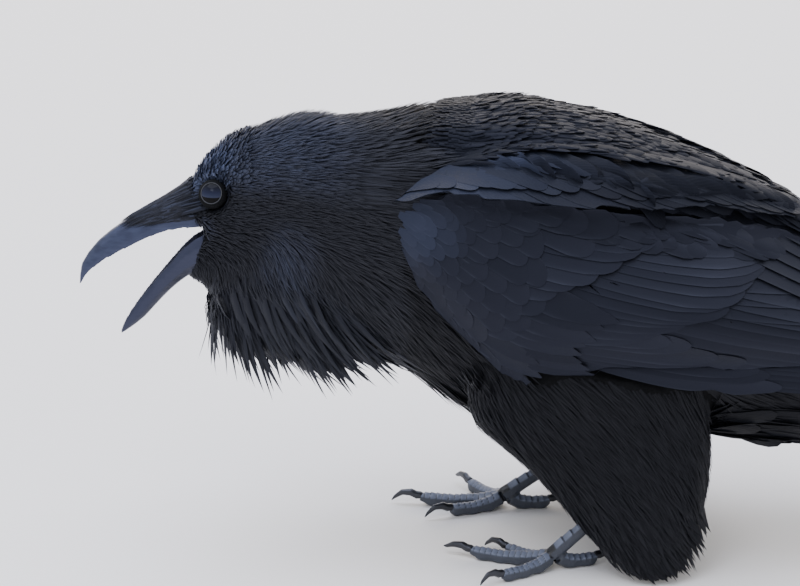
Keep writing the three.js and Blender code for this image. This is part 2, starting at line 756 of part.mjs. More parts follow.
for (const [name, side] of Object.entries(SIDES)) {
  const which = side < 0 ? 0 : 1;
  const foot = FEET[name];
  addPart(`eye_${name}`, eyeball(side, 0), eyeGlass);
  addPart(`scapulars_${name}`, scapularsShell(side, 0), flightPlumage);
  addPart(`wing_${name}`, without(wingShell(side, 0), scapularCuts[which]), flightPlumage);
  addPart(
    `primaries_${name}`,
    without(primariesShell(side, 0), wingCuts[which], scapularCuts[which]),
    flightPlumage,
  );
  const shank = tarsusLimb(foot, side, GAP);
  addPart(
    `thigh_${name}`,
    without(thighLoft(side, foot), bodyLoft(GAP), wingCuts[which], primaryCuts[which], shank),
    plumage,
  );
  addPart(`shank_${name}`, without(tarsusLimb(foot, side, 0), floor), legScale);
  const cutters = [shank];
  for (const toeName of Object.keys(TOES)) {
    const toe = without(toeLimb(foot, side, toeName, 0), floor, ...cutters);
    addPart(`toe_${toeName}_${name}`, toe, legScale);
    cutters.push(toeLimb(foot, side, toeName, GAP));
    addPart(`claw_${toeName}_${name}`, clawLimb(foot, side, toeName), horn);
  }
}

export default bird;
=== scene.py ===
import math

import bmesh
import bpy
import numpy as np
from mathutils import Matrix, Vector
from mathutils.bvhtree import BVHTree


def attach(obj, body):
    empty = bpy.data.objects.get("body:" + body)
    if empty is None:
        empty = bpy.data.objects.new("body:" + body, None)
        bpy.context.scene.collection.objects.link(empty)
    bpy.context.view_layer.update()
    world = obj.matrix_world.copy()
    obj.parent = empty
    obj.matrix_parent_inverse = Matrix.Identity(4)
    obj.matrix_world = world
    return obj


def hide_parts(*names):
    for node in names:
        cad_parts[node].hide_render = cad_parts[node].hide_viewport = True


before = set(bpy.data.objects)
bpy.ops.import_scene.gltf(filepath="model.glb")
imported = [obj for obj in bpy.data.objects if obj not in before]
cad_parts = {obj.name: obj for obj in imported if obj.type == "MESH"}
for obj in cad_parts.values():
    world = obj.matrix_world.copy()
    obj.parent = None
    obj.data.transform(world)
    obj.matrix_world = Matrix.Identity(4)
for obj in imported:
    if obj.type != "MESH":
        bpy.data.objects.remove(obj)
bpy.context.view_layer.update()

# %% [markdown]
# # A common raven, calling
# The part is a life-size still model of a common raven. It stands crouched, with its neck
# stretched forward and its bill open in a call. The CAD nodes give its outlines and sizes.
# This lesson dresses them: one skin under the plumage, then thousands of feathers that lie
# on it, a horn bill, eyes with lids, and scaled feet.
# The frame is in metres: the bill points to -X, the bird's left side is -Y, up is +Z.

MM = 0.001  # one millimetre in the frame's metres; the cells below work in millimetres
SIDES = {"left": -1, "right": 1}  # sign of y
rng = np.random.default_rng(71)  # every random draw of this script

# %% [markdown]
# ## Colours and material nodes
# Colours are given as sRGB hex values, but a shader works in linear light. One function turns the first into
# the second, so that no colour is turned twice or not at all.
# A second small function adds any node with its settings and its links.

# %% Colour and node helpers
def linear(hex_code):
    """sRGB hex to a linear RGBA tuple."""
    values = [int(hex_code[i : i + 2], 16) / 255 for i in (1, 3, 5)]
    return tuple(v / 12.92 if v <= 0.04045 else ((v + 0.055) / 1.055) ** 2.4 for v in values) + (1,)


def add(tree, kind, inputs=None, stops=(), **settings):
    """A new node of a kind, with settings as its attributes. An input is a value or a socket.
    A colour ramp also has stops: pairs of a place and a hex colour."""
    made = tree.nodes.new(kind)
    for name, value in settings.items():
        setattr(made, name, value)
    for name, value in (inputs or {}).items():
        if isinstance(value, bpy.types.NodeSocket):
            tree.links.new(value, made.inputs[name])
        else:
            made.inputs[name].default_value = value
    if stops:
        elements = made.color_ramp.elements
        while len(elements) < len(stops):
            elements.new(0.5)
        for element, (place, hex_code) in zip(elements, stops):
            element.position = place
            element.color = linear(hex_code)
    return made


def new_material(name, **constants):
    """A material with one Principled shader, whose constant sockets are given by name."""
    made = bpy.data.materials.new(name)
    made.use_nodes = True
    shader = made.node_tree.nodes["Principled BSDF"]
    for key, value in constants.items():
        shader.inputs[key.replace("_", " ")].default_value = value
    return made, made.node_tree, shader


MATH, MIX, RAMP = "ShaderNodeMath", "ShaderNodeMix", "ShaderNodeValToRGB"
print("nodes are added by one function, and the commonest are", MATH, MIX, RAMP)

# %% [markdown]
# ## Feather keratin
# Light is painted into each vane's colour too: painted shade at its root, a painted sheen towards its tip,
# and a painted highlight on its rim.
# A raven's feather is black because of melanin, and glossy because flat barbules mirror the
# sky: the light comes back blue to violet from smooth vanes, and hardly at all from the
# loose, hair-like ends of neck and belly feathers. So one recipe serves all plumage, and
# its roughness, tint and barb depth set the kind. The vane's own UV map runs across it in u
# and from root to tip in v. A number on each feather, `tone`, makes neighbours differ.
# Barbs are about 0.3 mm apart on a real vane. They are drawn as coarse as shows here.

# %% Feather materials
KERATIN_IOR = 1.55
BARB_BUMP = 0.0003  # height of the drawn barbs, in metres
BARB_SLANT = -0.35  # barbs run out and forward from the rachis
# the pale rim is a painted highlight along both edges of a vane
PAINTED_RIM_SHARPNESS, PAINTED_RIM_SHARE = 10.0, 0.7  # how narrow the pale rim is, and how strong
TONE_RANGE, TONE_LEAST = 0.6, 0.7  # neighbours differ in lightness from 0.7 to 1.3
# a feather's gloss is also painted light: what it adds to lightness and blue is a painted sheen, and below 0
# it is painted shade
PAINTED_LIGHT_LIFT, PAINTED_SHEEN_BLUE = 0.45, 0.55  # what a feather's gloss adds to its lightness and blue
GLOSS_SMOOTH, TONE_SMOOTH = -0.12, -0.1  # what gloss and tone add to its roughness


def feather_material(name, root, tip, painted_rim_highlight, tint, roughness, specular, barbs, depth):
    """Root and tip are colours along the vane, a painted shade at the root and a painted sheen at the tip.
    The rim colour is a painted highlight on its edges, and tint is the specular tint.
    """
    made, tree, shader = new_material(
        name, IOR=KERATIN_IOR, Specular_IOR_Level=specular, Specular_Tint=linear(tint),
        Sheen_Weight=0.04, Sheen_Roughness=0.5, Sheen_Tint=linear("#a9b0c8"),
    )
    vane = add(tree, "ShaderNodeUVMap", uv_map="Vane").outputs["UV"]
    place = add(tree, "ShaderNodeSeparateXYZ", {"Vector": vane})
    across, along = place.outputs["X"], place.outputs["Y"]
    tone = add(tree, "ShaderNodeAttribute", attribute_name="tone").outputs["Fac"]
    gloss = add(tree, "ShaderNodeAttribute", attribute_name="gloss").outputs["Fac"]
    from_rachis = add(tree, MATH, {0: across, 1: 2.0, 2: -1.0}, operation="MULTIPLY_ADD").outputs[0]
    off_rachis = add(tree, MATH, {0: from_rachis}, operation="ABSOLUTE").outputs[0]
    # painted shade at the root, and a painted sheen towards the tip
    body = add(tree, RAMP, {"Fac": along}, stops=[(0.0, root), (1.0, tip)]).outputs["Color"]
    # a painted highlight on the rim
    narrow = add(tree, MATH, {0: off_rachis, 1: PAINTED_RIM_SHARPNESS}, operation="POWER").outputs[0]
    edge = add(tree, MATH, {0: narrow, 1: PAINTED_RIM_SHARE}, operation="MULTIPLY").outputs[0]
    vane_shade = add(tree, MIX, {0: edge, 6: body, 7: linear(painted_rim_highlight)}, data_type="RGBA").outputs[2]

    own = {0: tone, 1: TONE_RANGE, 2: TONE_LEAST}
    own_light = add(tree, MATH, own, operation="MULTIPLY_ADD").outputs[0]
    # gloss adds painted light to the lightness: lighter as a painted sheen, darker below 0 as painted shade
    light = {0: gloss, 1: PAINTED_LIGHT_LIFT, 2: own_light}
    lightness = add(tree, MATH, light, operation="MULTIPLY_ADD").outputs[0]
    grey = add(tree, "ShaderNodeCombineColor", {0: lightness, 1: lightness, 2: lightness}).outputs[0]
    toned = {0: 1.0, 6: vane_shade, 7: grey}
    toned_shade = add(tree, MIX, toned, data_type="RGBA", blend_type="MULTIPLY").outputs[2]
    # and blue, the colour of the painted sheen
    painted_sheen_share = add(tree, MATH, {0: gloss, 1: PAINTED_SHEEN_BLUE}, operation="MULTIPLY").outputs[0]
    painted_blue_sheen = {0: painted_sheen_share, 6: toned_shade, 7: linear("#434a60")}
    tree.links.new(add(tree, MIX, painted_blue_sheen, data_type="RGBA").outputs[2], shader.inputs["Base Color"])

    worn = {0: tone, 1: TONE_SMOOTH, 2: roughness + 0.05}
    worn_roughness = add(tree, MATH, worn, operation="MULTIPLY_ADD").outputs[0]
    polished = {0: gloss, 1: GLOSS_SMOOTH, 2: worn_roughness}
    satin = add(tree, MATH, polished, operation="MULTIPLY_ADD").outputs[0]
    tree.links.new(satin, shader.inputs["Roughness"])

    slanted = {0: off_rachis, 1: BARB_SLANT, 2: along}
    slant = add(tree, MATH, slanted, operation="MULTIPLY_ADD").outputs[0]
    turns = add(tree, MATH, {0: slant, 1: math.tau * barbs}, operation="MULTIPLY").outputs[0]
    stripes = add(tree, MATH, {0: turns}, operation="SINE").outputs[0]
    relief_of_barbs = {"Strength": depth, "Distance": BARB_BUMP, "Height": stripes}
    bump = add(tree, "ShaderNodeBump", relief_of_barbs).outputs[0]
    tree.links.new(bump, shader.inputs["Normal"])
    return made


# %% The five kinds of feather
# colours of root and tip, a painted shade and a painted sheen, and of the rim, a painted highlight; specular
# tint, roughness, specular, barbs and their depth
plumage = feather_material(  # breast, belly and trousers: matt and almost without colour
    "body feather keratin", "#070708", "#111113", "#19191b", "#e2e4f0", 0.6, 0.18, 9, 0.15
)
loose_plumage = feather_material(  # head and neck: hair-like and greyer, with a soft shine
    "loose neck feather keratin", "#0b0b0c", "#1b1b1d", "#242426", "#d9def4", 0.6, 0.23, 7, 0.15
)
# the rims of these vanes are a painted highlight
mantle_keratin = feather_material(  # back and scapulars: blue-black, each vane rimmed
    "glossy back feather keratin", "#08090b", "#0f1014", "#1b1d23", "#c6cef2", 0.55, 0.11, 10, 0.1
)
vane_keratin = feather_material(  # wing and tail: the smoothest, so the sky shows in them
    "wing vane keratin", "#0b0c0f", "#131419", "#292b32", "#c8cff2", 0.5, 0.22, 70, 0.05
)
hackle_keratin = feather_material(  # throat: long lances, a little glossier than the neck
    "throat hackle keratin", "#08080a", "#121315", "#1c1d21", "#d2d8f2", 0.52, 0.25, 12, 0.15
)
print("feather finishes", [made.name for made in bpy.data.materials])

# %% [markdown]
# ## Down, horn, scale, flesh and eye
# Under the feathers lies dull black down on dark skin: matt, so that gaps read as shadow.
# The bill is horn in thin layers: it is smooth and satin, with fine streaks along its length. Claws are the
# same horn, blacker.
# Leg scales are harder skin: satin black plates with pale worn edges. The eye is a wet ball.

# %% Down and horn
DOWN_GRAIN = 900.0  # tufts to the metre, each about 1.1 mm
HORN_GRAIN = (60, 420, 420)  # layers to the metre: about 17 mm long and 2.4 mm thick
HORN_TURN = math.radians(-35)  # the layers slope with the open bill
HORN_BUMP = 0.0004  # depth of a streak, in metres

down_skin, tree, shader = new_material("down on dark skin", Roughness=0.9, Specular_IOR_Level=0.15)
where = add(tree, "ShaderNodeTexCoord").outputs["Object"]
tufts = add(tree, "ShaderNodeTexNoise", {"Vector": where, "Scale": DOWN_GRAIN}).outputs["Fac"]
shade = add(tree, RAMP, {"Fac": tufts}, stops=[(0.35, "#050506"), (0.75, "#0c0d0f")])
tree.links.new(shade.outputs["Color"], shader.inputs["Base Color"])


def horn_material(name, dark, light, roughness, streaks, tint="#c3ccff"):
    """Horn in thin layers, from a dark to a light colour, with streaks of a given strength."""
    made, tree, shader = new_material(
        name, IOR=1.56, Specular_IOR_Level=0.6, Specular_Tint=linear(tint), Coat_Weight=0.1
    )
    where = add(tree, "ShaderNodeTexCoord").outputs["Object"]
    turned = {"Vector": where, "Rotation": (0, HORN_TURN, 0), "Scale": HORN_GRAIN}
    placed = add(tree, "ShaderNodeMapping", turned).outputs[0]
    grown = {"Vector": placed, "Scale": 1.0, "Detail": 6.0}
    layers = add(tree, "ShaderNodeTexNoise", grown).outputs["Fac"]
    shade = add(tree, RAMP, {"Fac": layers}, stops=[(0.3, dark), (0.72, light)]).outputs["Color"]
    tree.links.new(shade, shader.inputs["Base Color"])
    worn = {0: layers, 1: 0.3, 2: roughness - 0.15}
    rough = add(tree, MATH, worn, operation="MULTIPLY_ADD").outputs[0]
    tree.links.new(rough, shader.inputs["Roughness"])
    streaked = {"Strength": streaks, "Distance": HORN_BUMP, "Height": layers}
    tree.links.new(add(tree, "ShaderNodeBump", streaked).outputs[0], shader.inputs["Normal"])
    return made


# the upper bill is satin and bluish in the light; the lower one is duller, and its darker colours are painted
# shade; the claws black
bill_horn = horn_material("horn of the bill", "#15171d", "#2e323e", 0.38, 0.5, "#b9c5ff")
lower_bill_horn_painted_shade = horn_material("horn of the lower bill with painted shade", "#0c0d10", "#17181d", 0.46, 0.7)
claw_horn = horn_material("horn of the claws", "#0b0b0c", "#1a1a1d", 0.38, 0.3, "#dfe2ee")
print("down and horn", [made.name for made in (down_skin, bill_horn, lower_bill_horn_painted_shade, claw_horn)])

# %% Leg scale, mouth, lid and eye
PEBBLES = 700.0  # to the metre: the fine bumps of the scales, about 1.4 mm apart
PEBBLE_BUMP = 0.0004
# the lighter tops of the plates are painted light from above, the dark grooves between them painted shade,
# and the pale plate ends wear
SCALE_WEAR_AND_PAINTED_LIGHT = [(0.0, "#0e0f12"), (0.35, "#2b2f38"), (0.75, "#4b515f"), (1.0, "#6a7182")]
# A wet ball mirrors the sky over a dark horizon. Here that is a painted reflection in its colour, a bluish
# band over a dark lower half, and its own specular is kept low. The places run from 0 at the ball's foot to 1
# at its top.
PAINTED_SKY_IN_EYE = [(0.52, "#040303"), (0.55, "#2c3040"), (0.7, "#1d2030"), (0.85, "#14151d"), (0.95, "#08080a")]

leg_scale, tree, shader = new_material("leg scale", IOR=1.5, Specular_IOR_Level=0.5)
wear_and_painted_light = add(tree, "ShaderNodeAttribute", attribute_name="wear_and_painted_light").outputs["Fac"]
shade = add(tree, RAMP, {"Fac": wear_and_painted_light}, stops=SCALE_WEAR_AND_PAINTED_LIGHT).outputs["Color"]
tree.links.new(shade, shader.inputs["Base Color"])
rough = add(tree, MATH, {0: wear_and_painted_light, 1: 0.15, 2: 0.42}, operation="MULTIPLY_ADD").outputs[0]
tree.links.new(rough, shader.inputs["Roughness"])
where = add(tree, "ShaderNodeTexCoord").outputs["Object"]
pebbles = add(tree, "ShaderNodeTexVoronoi", {"Vector": where, "Scale": PEBBLES}).outputs["Distance"]
bumpy = {"Strength": 0.35, "Distance": PEBBLE_BUMP, "Height": pebbles}
tree.links.new(add(tree, "ShaderNodeBump", bumpy).outputs[0], shader.inputs["Normal"])

mouth_skin = new_material("moist mouth skin", Base_Color=linear("#33272b"), Roughness=0.4)[0]
lid_skin = new_material(
    "bare eyelid skin", Base_Color=linear("#3a3b3e"), Roughness=0.6, Specular_IOR_Level=0.2
)[0]
eye_with_painted_sky, tree, shader = new_material("wet dark brown eye with painted sky", Roughness=0.05, Specular_IOR_Level=0.08)
over_ball = add(tree, "ShaderNodeTexCoord").outputs["Generated"]
upward = add(tree, "ShaderNodeSeparateXYZ", {"Vector": over_ball}).outputs["Z"]
sky = add(tree, RAMP, {"Fac": upward}, stops=PAINTED_SKY_IN_EYE).outputs["Color"]
tree.links.new(sky, shader.inputs["Base Color"])
print("all finishes", [made.name for made in bpy.data.materials])

# %% [markdown]
# ## Shapes from the nodes
# A CAD node is loose triangles. Where a piece should follow it exactly, a copy is merged
# first, and then remeshed in small even cells and smoothed, so that its facets are gone.

# %% Mesh helpers
MERGED = 0.00001  # vertices nearer than this, in metres, are one
FAR_SHOULDER = (  # places along the body, and how far the right scapulars lie under their solid
    (-80, -60, -40, -10, 0, 20, 35, 52, 70),
    (0, 1.2, 1.6, 1.2, 1.6, 3.2, 3.0, 2.6, 1.5),
)


def node_copy(*names):
    """One bmesh of several nodes, in millimetres, with their doubles merged. The right
    scapulars are lowered a little, so that the back makes the bird's upper line."""
    shape = bmesh.new()
    for name in names:
        others = len(shape.verts)
        shape.from_mesh(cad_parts[name].data)
        shape.verts.ensure_lookup_table()
        if name == "scapulars_right":
            for vert in shape.verts[others:]:
                vert.co.z -= MM * float(np.interp(vert.co.x / MM, *FAR_SHOULDER))
    bmesh.ops.remove_doubles(shape, verts=shape.verts, dist=MERGED)
    bmesh.ops.scale(shape, vec=(1 / MM,) * 3, verts=shape.verts)
    return shape


def piece(shape, name, material):
    """The bmesh, which is in millimetres, as a smooth object of the scene."""
    bmesh.ops.scale(shape, vec=(MM,) * 3, verts=shape.verts)
    mesh = bpy.data.meshes.new(name)
    shape.to_mesh(mesh)
    shape.free()
    mesh.polygons.foreach_set("use_smooth", [True] * len(mesh.polygons))
    mesh.materials.append(material)
    made = bpy.data.objects.new(name, mesh)
    bpy.context.scene.collection.objects.link(made)
    return made


def evaluated(obj):
    """A bmesh, in millimetres, of an object as its modifiers leave it. The object is removed."""
    mesh = bpy.data.meshes.new_from_object(obj.evaluated_get(bpy.context.evaluated_depsgraph_get()))
    bpy.data.objects.remove(obj)
    shape = bmesh.new()
    shape.from_mesh(mesh)
    bpy.data.meshes.remove(mesh)
    bmesh.ops.scale(shape, vec=(1 / MM,) * 3, verts=shape.verts)
    return shape


# %% Remeshing helpers
def smoothed(shape, times):
    """Each vertex goes halfway to the mean of its neighbours, as many times as asked."""
    for _ in range(times):
        bmesh.ops.smooth_vert(
            shape, verts=shape.verts, factor=0.5, use_axis_x=True, use_axis_y=True, use_axis_z=True
        )
    return shape


def remeshed(shape, cell, smoothing):
    """The same solid in even cells of that many millimetres."""
    rough = piece(shape, "rough", None)
    modifier = rough.modifiers.new("cells", "REMESH")
    modifier.mode = "VOXEL"
    modifier.voxel_size = cell * MM
    return smoothed(evaluated(rough), smoothing)


def largest_island(shape):
    """Deletes all but the island with the most vertices."""
    left, islands = set(shape.verts), []
    while left:
        island, edge = set(), [next(iter(left))]
        while edge:
            vert = edge.pop()
            if vert in island:
                continue
            island.add(vert)
            edge.extend(e.other_vert(vert) for e in vert.link_edges)
        left -= island
        islands.append(island)
    keep = max(islands, key=len)
    bmesh.ops.delete(shape, geom=[v for v in shape.verts if v not in keep], context="VERTS")
    return shape


def ride(obj, slot, *nodes):
    """Each piece moves with the one body and stands for its nodes. The slot is not used."""
    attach(obj, "root")
    if nodes:
        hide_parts(*nodes)
    print(obj.name, len(obj.data.polygons), "faces")
    return obj


# %% [markdown]
# ## One skin under the plumage
# Head, neck, trunk, thighs and folded wings are one body under the feathers, so their nodes
# become one skin without seams. The nodes are the outside of the plumage. The skin has to
# lie inside them by the depth of the coat. Scaling can't do that, and pushing vertices
# inwards folds thin edges over. So the joined nodes are turned into a volume that fades in
# from its surface, and the skin is taken where it has faded in by the coat's depth: thin
# wing edges simply end, as real flesh does there.

# %% The skin
COAT = 2.6  # depth of the plumage over the skin, millimetres
SKIN_CELL = 2.2
FADE = 6.0  # the volume is full this deep under its surface
FLESH = ("head", "neck", "trunk", "thigh_left", "thigh_right")
WINGS = ("wing_left", "wing_right", "scapulars_left", "scapulars_right")
THROAT_BEDS = ((-214, 122, 26, 20, 16), (-180, 112, 32, 26, 15))  # x, z, and half of each side
BODY_CELL = 2.0
body = node_copy(*FLESH, *WINGS, "bill_upper", "bill_lower")
for x, z, half_x, half_y, half_z in THROAT_BEDS:  # flesh that the raised hackles grow from
    seat = Matrix.Translation((x, 0, z)) @ Matrix.Diagonal((half_x, half_y, half_z, 1))
    bmesh.ops.create_icosphere(body, subdivisions=3, radius=1, matrix=seat)
body = remeshed(body, BODY_CELL, 1)

shrink = bpy.data.node_groups.new("inside the coat", "GeometryNodeTree")
for way in ("INPUT", "OUTPUT"):
    shrink.interface.new_socket("Geometry", in_out=way, socket_type="NodeSocketGeometry")
source = add(shrink, "NodeGroupInput")
cloud = add(
    shrink,
    "GeometryNodeMeshToVolume",
    {"Mesh": source.outputs[0], "Voxel Size": SKIN_CELL * MM, "Interior Band Width": FADE * MM},
    resolution_mode="VOXEL_SIZE",
)
crust = add(shrink, "GeometryNodeVolumeToMesh", {"Volume": cloud.outputs[0], "Threshold": COAT / FADE})
add(shrink, "NodeGroupOutput", {0: crust.outputs[0]})
rough = piece(body, "rough", None)
rough.modifiers.new("coat", "NODES").node_group = shrink
skin = piece(smoothed(largest_island(evaluated(rough)), 3), "skin", down_skin)
ride(skin, "plumage", *FLESH)

# %% [markdown]
# ## A flat map of the skin
# Each feather's colour is later kept in a small patch of a texture. The patches have to lie
# like the roots do on the body, on both sides of it. A view from one side would put left
# on top of right, so the skin's own faces are unwrapped into islands, and every root
# takes the place of the face that it grows from.

# %% Unwrapping the skin
ISLAND_ANGLE = math.radians(66)  # faces that turn further than this go to another island
ISLAND_GAP = 0.002  # as a share of the map
bpy.context.view_layer.objects.active = skin
skin.select_set(True)
bpy.ops.object.mode_set(mode="EDIT")
bpy.ops.mesh.select_all(action="SELECT")
bpy.ops.uv.smart_project(angle_limit=ISLAND_ANGLE, island_margin=ISLAND_GAP)
bpy.ops.object.mode_set(mode="OBJECT")
print("maps of the skin", [layer.name for layer in skin.data.uv_layers])

# %% The skin as arrays
skin_mesh = skin.data
corners = np.zeros((len(skin_mesh.vertices), 3))
skin_mesh.vertices.foreach_get("co", corners.ravel())
corners /= MM
corner_normals = np.zeros_like(corners)
skin_mesh.vertices.foreach_get("normal", corner_normals.ravel())
flat = np.zeros((len(skin_mesh.loops), 2))
skin_mesh.uv_layers[0].data.foreach_get("uv", flat.ravel())
skin_mesh.uv_layers[0].name = "Skin"
quads, quad_place = [], []
for face in skin_mesh.polygons:
    quads.append(list(face.vertices)[:4] + [face.vertices[-1]] * (4 - len(face.vertices)))
    quad_place.append(flat[list(face.loop_indices)].mean(axis=0))
quads, quad_place = np.array(quads), np.array(quad_place)
skin_tree = BVHTree.FromPolygons(corners.tolist(), quads.tolist())
print("skin", len(quads), "faces,", "islands' box", flat.min(0).round(2), flat.max(0).round(2))

# %% [markdown]
# ## Feather shapes
# Every small feather is a copy of one of a few shapes, so each has to be light. A closed
# three-sided bar does it for the hair-like ones: flat below, with its ridge, the rachis, on
# top. It is cut across by planes, and each ring is drawn in to the outline of the vane. A
# strand has a long point, and a hackle is the long lance of a raven's throat. The broad
# feathers are flat vanes instead: a grid of faces cut to their outline, with a thickness.

# %% Feather shapes
def shape_arrays(shape):
    """Vertices and triangles of a feather shape: along x from 0 to 1, across y from -1 to 1."""
    bmesh.ops.triangulate(shape, faces=shape.faces)
    bmesh.ops.recalc_face_normals(shape, faces=shape.faces)
    shape.verts.index_update()
    verts = np.array([v.co[:] for v in shape.verts])
    faces = np.array([[v.index for v in f.verts] for f in shape.faces])
    shape.free()
    return verts, faces


BAR_HALF = 0.866  # half the side of the triangle in a circle of radius 1
BAR_HEIGHT = 1.5  # its height, from 0.5 down to -1
LEAST_RIDGE = 0.3  # the ridge doesn't sink to nothing where the vane is narrow


def bar_feather(cuts, outline):
    """A feather with its ridge at z = 1, to be scaled by its thickness."""
    shape = bmesh.new()
    upright = Matrix.Translation((0, 0, 0.5))
    bmesh.ops.create_cone(shape, cap_ends=True, segments=3, radius1=1, radius2=1, depth=1, matrix=upright)
    for cut in cuts:
        everything = shape.verts[:] + shape.edges[:] + shape.faces[:]
        bmesh.ops.bisect_plane(shape, geom=everything, plane_co=(0, 0, cut), plane_no=(0, 0, 1))
    for vert in shape.verts:
        along, across, up = vert.co.z, vert.co.x / BAR_HALF, (0.5 - vert.co.y) / BAR_HEIGHT
        half = np.interp(along, *outline)
        vert.co = (along, across * half, up * (LEAST_RIDGE + 0.7 * half))
    tip = [vert for vert in shape.verts if vert.co.x > 0.999]
    bmesh.ops.pointmerge(shape, verts=tip, merge_co=(1, 0, 0.1))
    return shape_arrays(shape)


def vane_feather(segments, across, outline):
    """A flat vane with its top at z = 0 and its underside at z = -1, in rows and columns."""
    shape = bmesh.new()
    bmesh.ops.create_grid(shape, x_segments=segments, y_segments=across, size=0.5)
    for vert in shape.verts:
        along = 1 - (0.5 - vert.co.x) ** 1.5  # rows are closer towards the tip
        vert.co = (along, 2 * vert.co.y, 0)
    bmesh.ops.solidify(shape, geom=shape.faces, thickness=1)
    for vert in shape.verts:
        vert.co.y *= np.interp(vert.co.x, *outline)
    return shape_arrays(shape)


# %% Six feathers
# outlines are places along the feather, and the half width at each
STRAND = bar_feather((0.35, 0.72), ((0, 0.35, 0.72, 1), (0.7, 1, 0.6, 0.05)))
HACKLE = bar_feather(
    (0.2, 0.45, 0.65, 0.82), ((0, 0.2, 0.45, 0.65, 0.82, 1), (0.5, 0.9, 1, 0.82, 0.45, 0.02))
)
ROUND_TIP = ((0, 0.3, 0.72, 0.86, 0.94, 0.98, 1), (0.5, 0.9, 1, 0.88, 0.66, 0.42, 0.18))
LONG_TIP = ((0, 0.15, 0.72, 0.88, 0.95, 0.985, 1), (0.5, 0.85, 1, 0.84, 0.6, 0.36, 0.12))
POINTED_TIP = ((0, 0.2, 0.6, 0.8, 0.92, 1), (0.5, 0.95, 1, 0.74, 0.42, 0.06))
SCALE = vane_feather(6, 2, ROUND_TIP)
ROUND_VANE = vane_feather(12, 4, ROUND_TIP)
LONG_VANE = vane_feather(20, 5, LONG_TIP)
POINTED_VANE = vane_feather(18, 4, POINTED_TIP)
for name, (_, faces) in zip(
    ("strand", "hackle", "scale", "round vane", "long vane", "pointed vane"),
    (STRAND, HACKLE, SCALE, ROUND_VANE, LONG_VANE, POINTED_VANE),
):
    print(name, len(faces), "triangles")

# %% [markdown]
# ## From roots to a coat
# A feather bends to the body under it. Its middle line is a curve through three points: the
# root in the skin, a point over the skin halfway, and one at its tip. Because each feather
# rises from root to tip, it lies over the next one, like shingles. All feathers of a piece
# are made at once with arrays and joined in one mesh. A loop of operators would take hours.
# Light must read the body's form and not each hair, as on real plumage, where barbs hook
# into one soft sheet. So each corner's normal is mostly that of the skin below, and leans
# over only a little towards the feather's own edges.

# %% Laying feathers
PATCH = 0.003  # width of a feather's patch on the flat map
SKIN_LIGHT, OWN_LIGHT = 0.7, 0.3  # how far a feather's normals are the skin's and its own
FLOOR_GAP = 0.3  # nothing comes nearer to the floor, in millimetres


def unit(vectors):
    """Vectors of length 1."""
    return vectors / np.maximum(np.linalg.norm(vectors, axis=-1, keepdims=True), 1e-9)


def dot(first, second):
    """Products of two lists of vectors, one by one."""
    return np.sum(first * second, axis=-1, keepdims=True)


def along_skin(tree, points):
    """Nearest points of a surface, their normals and their faces."""
    found = [tree.find_nearest(p) for p in points.tolist()]
    spots = np.array([f[0][:] for f in found])
    normals = np.array([f[1][:] for f in found])
    return spots, normals, np.array([f[2] for f in found])


def laid(template, line, widths, thickness, twist=0.0, roundness=0.5):
    """Corners and normals (feather, vertex, xyz) of a template along curves of three points."""
    starts, bends, ends, start_up, end_up = (part[:, None] for part in line)
    share, aside, lift = (template[0][:, k][None, :, None] for k in range(3))
    rest = 1 - share
    middle = rest**2 * starts + 2 * share * rest * bends + share**2 * ends
    ahead = unit(rest * (bends - starts) + share * (ends - bends))
    skin_up = unit(rest * start_up + share * end_up)
    side = unit(np.cross(skin_up, ahead))
    up = np.cross(ahead, side)
    turn = (np.asarray(twist) * np.ones(len(starts)))[:, None, None] * share
    cosine, sine = np.cos(turn), np.sin(turn)
    side, up = side * cosine + up * sine, up * cosine - side * sine
    half = (np.asarray(widths) * np.ones(len(starts)))[:, None, None] / 2
    normals = unit(SKIN_LIGHT * skin_up + OWN_LIGHT * up + roundness * aside * side)
    normals = np.where(lift < -0.5, -normals, normals)  # a vane's underside looks down
    return middle + side * aside * half + up * lift * thickness, normals


# %% Joining feathers
def fill(layer, name, values):
    """Sets one number or vector for each element of a mesh's list or layer."""
    layer.foreach_set(name, np.asarray(values).ravel().astype(np.float32))


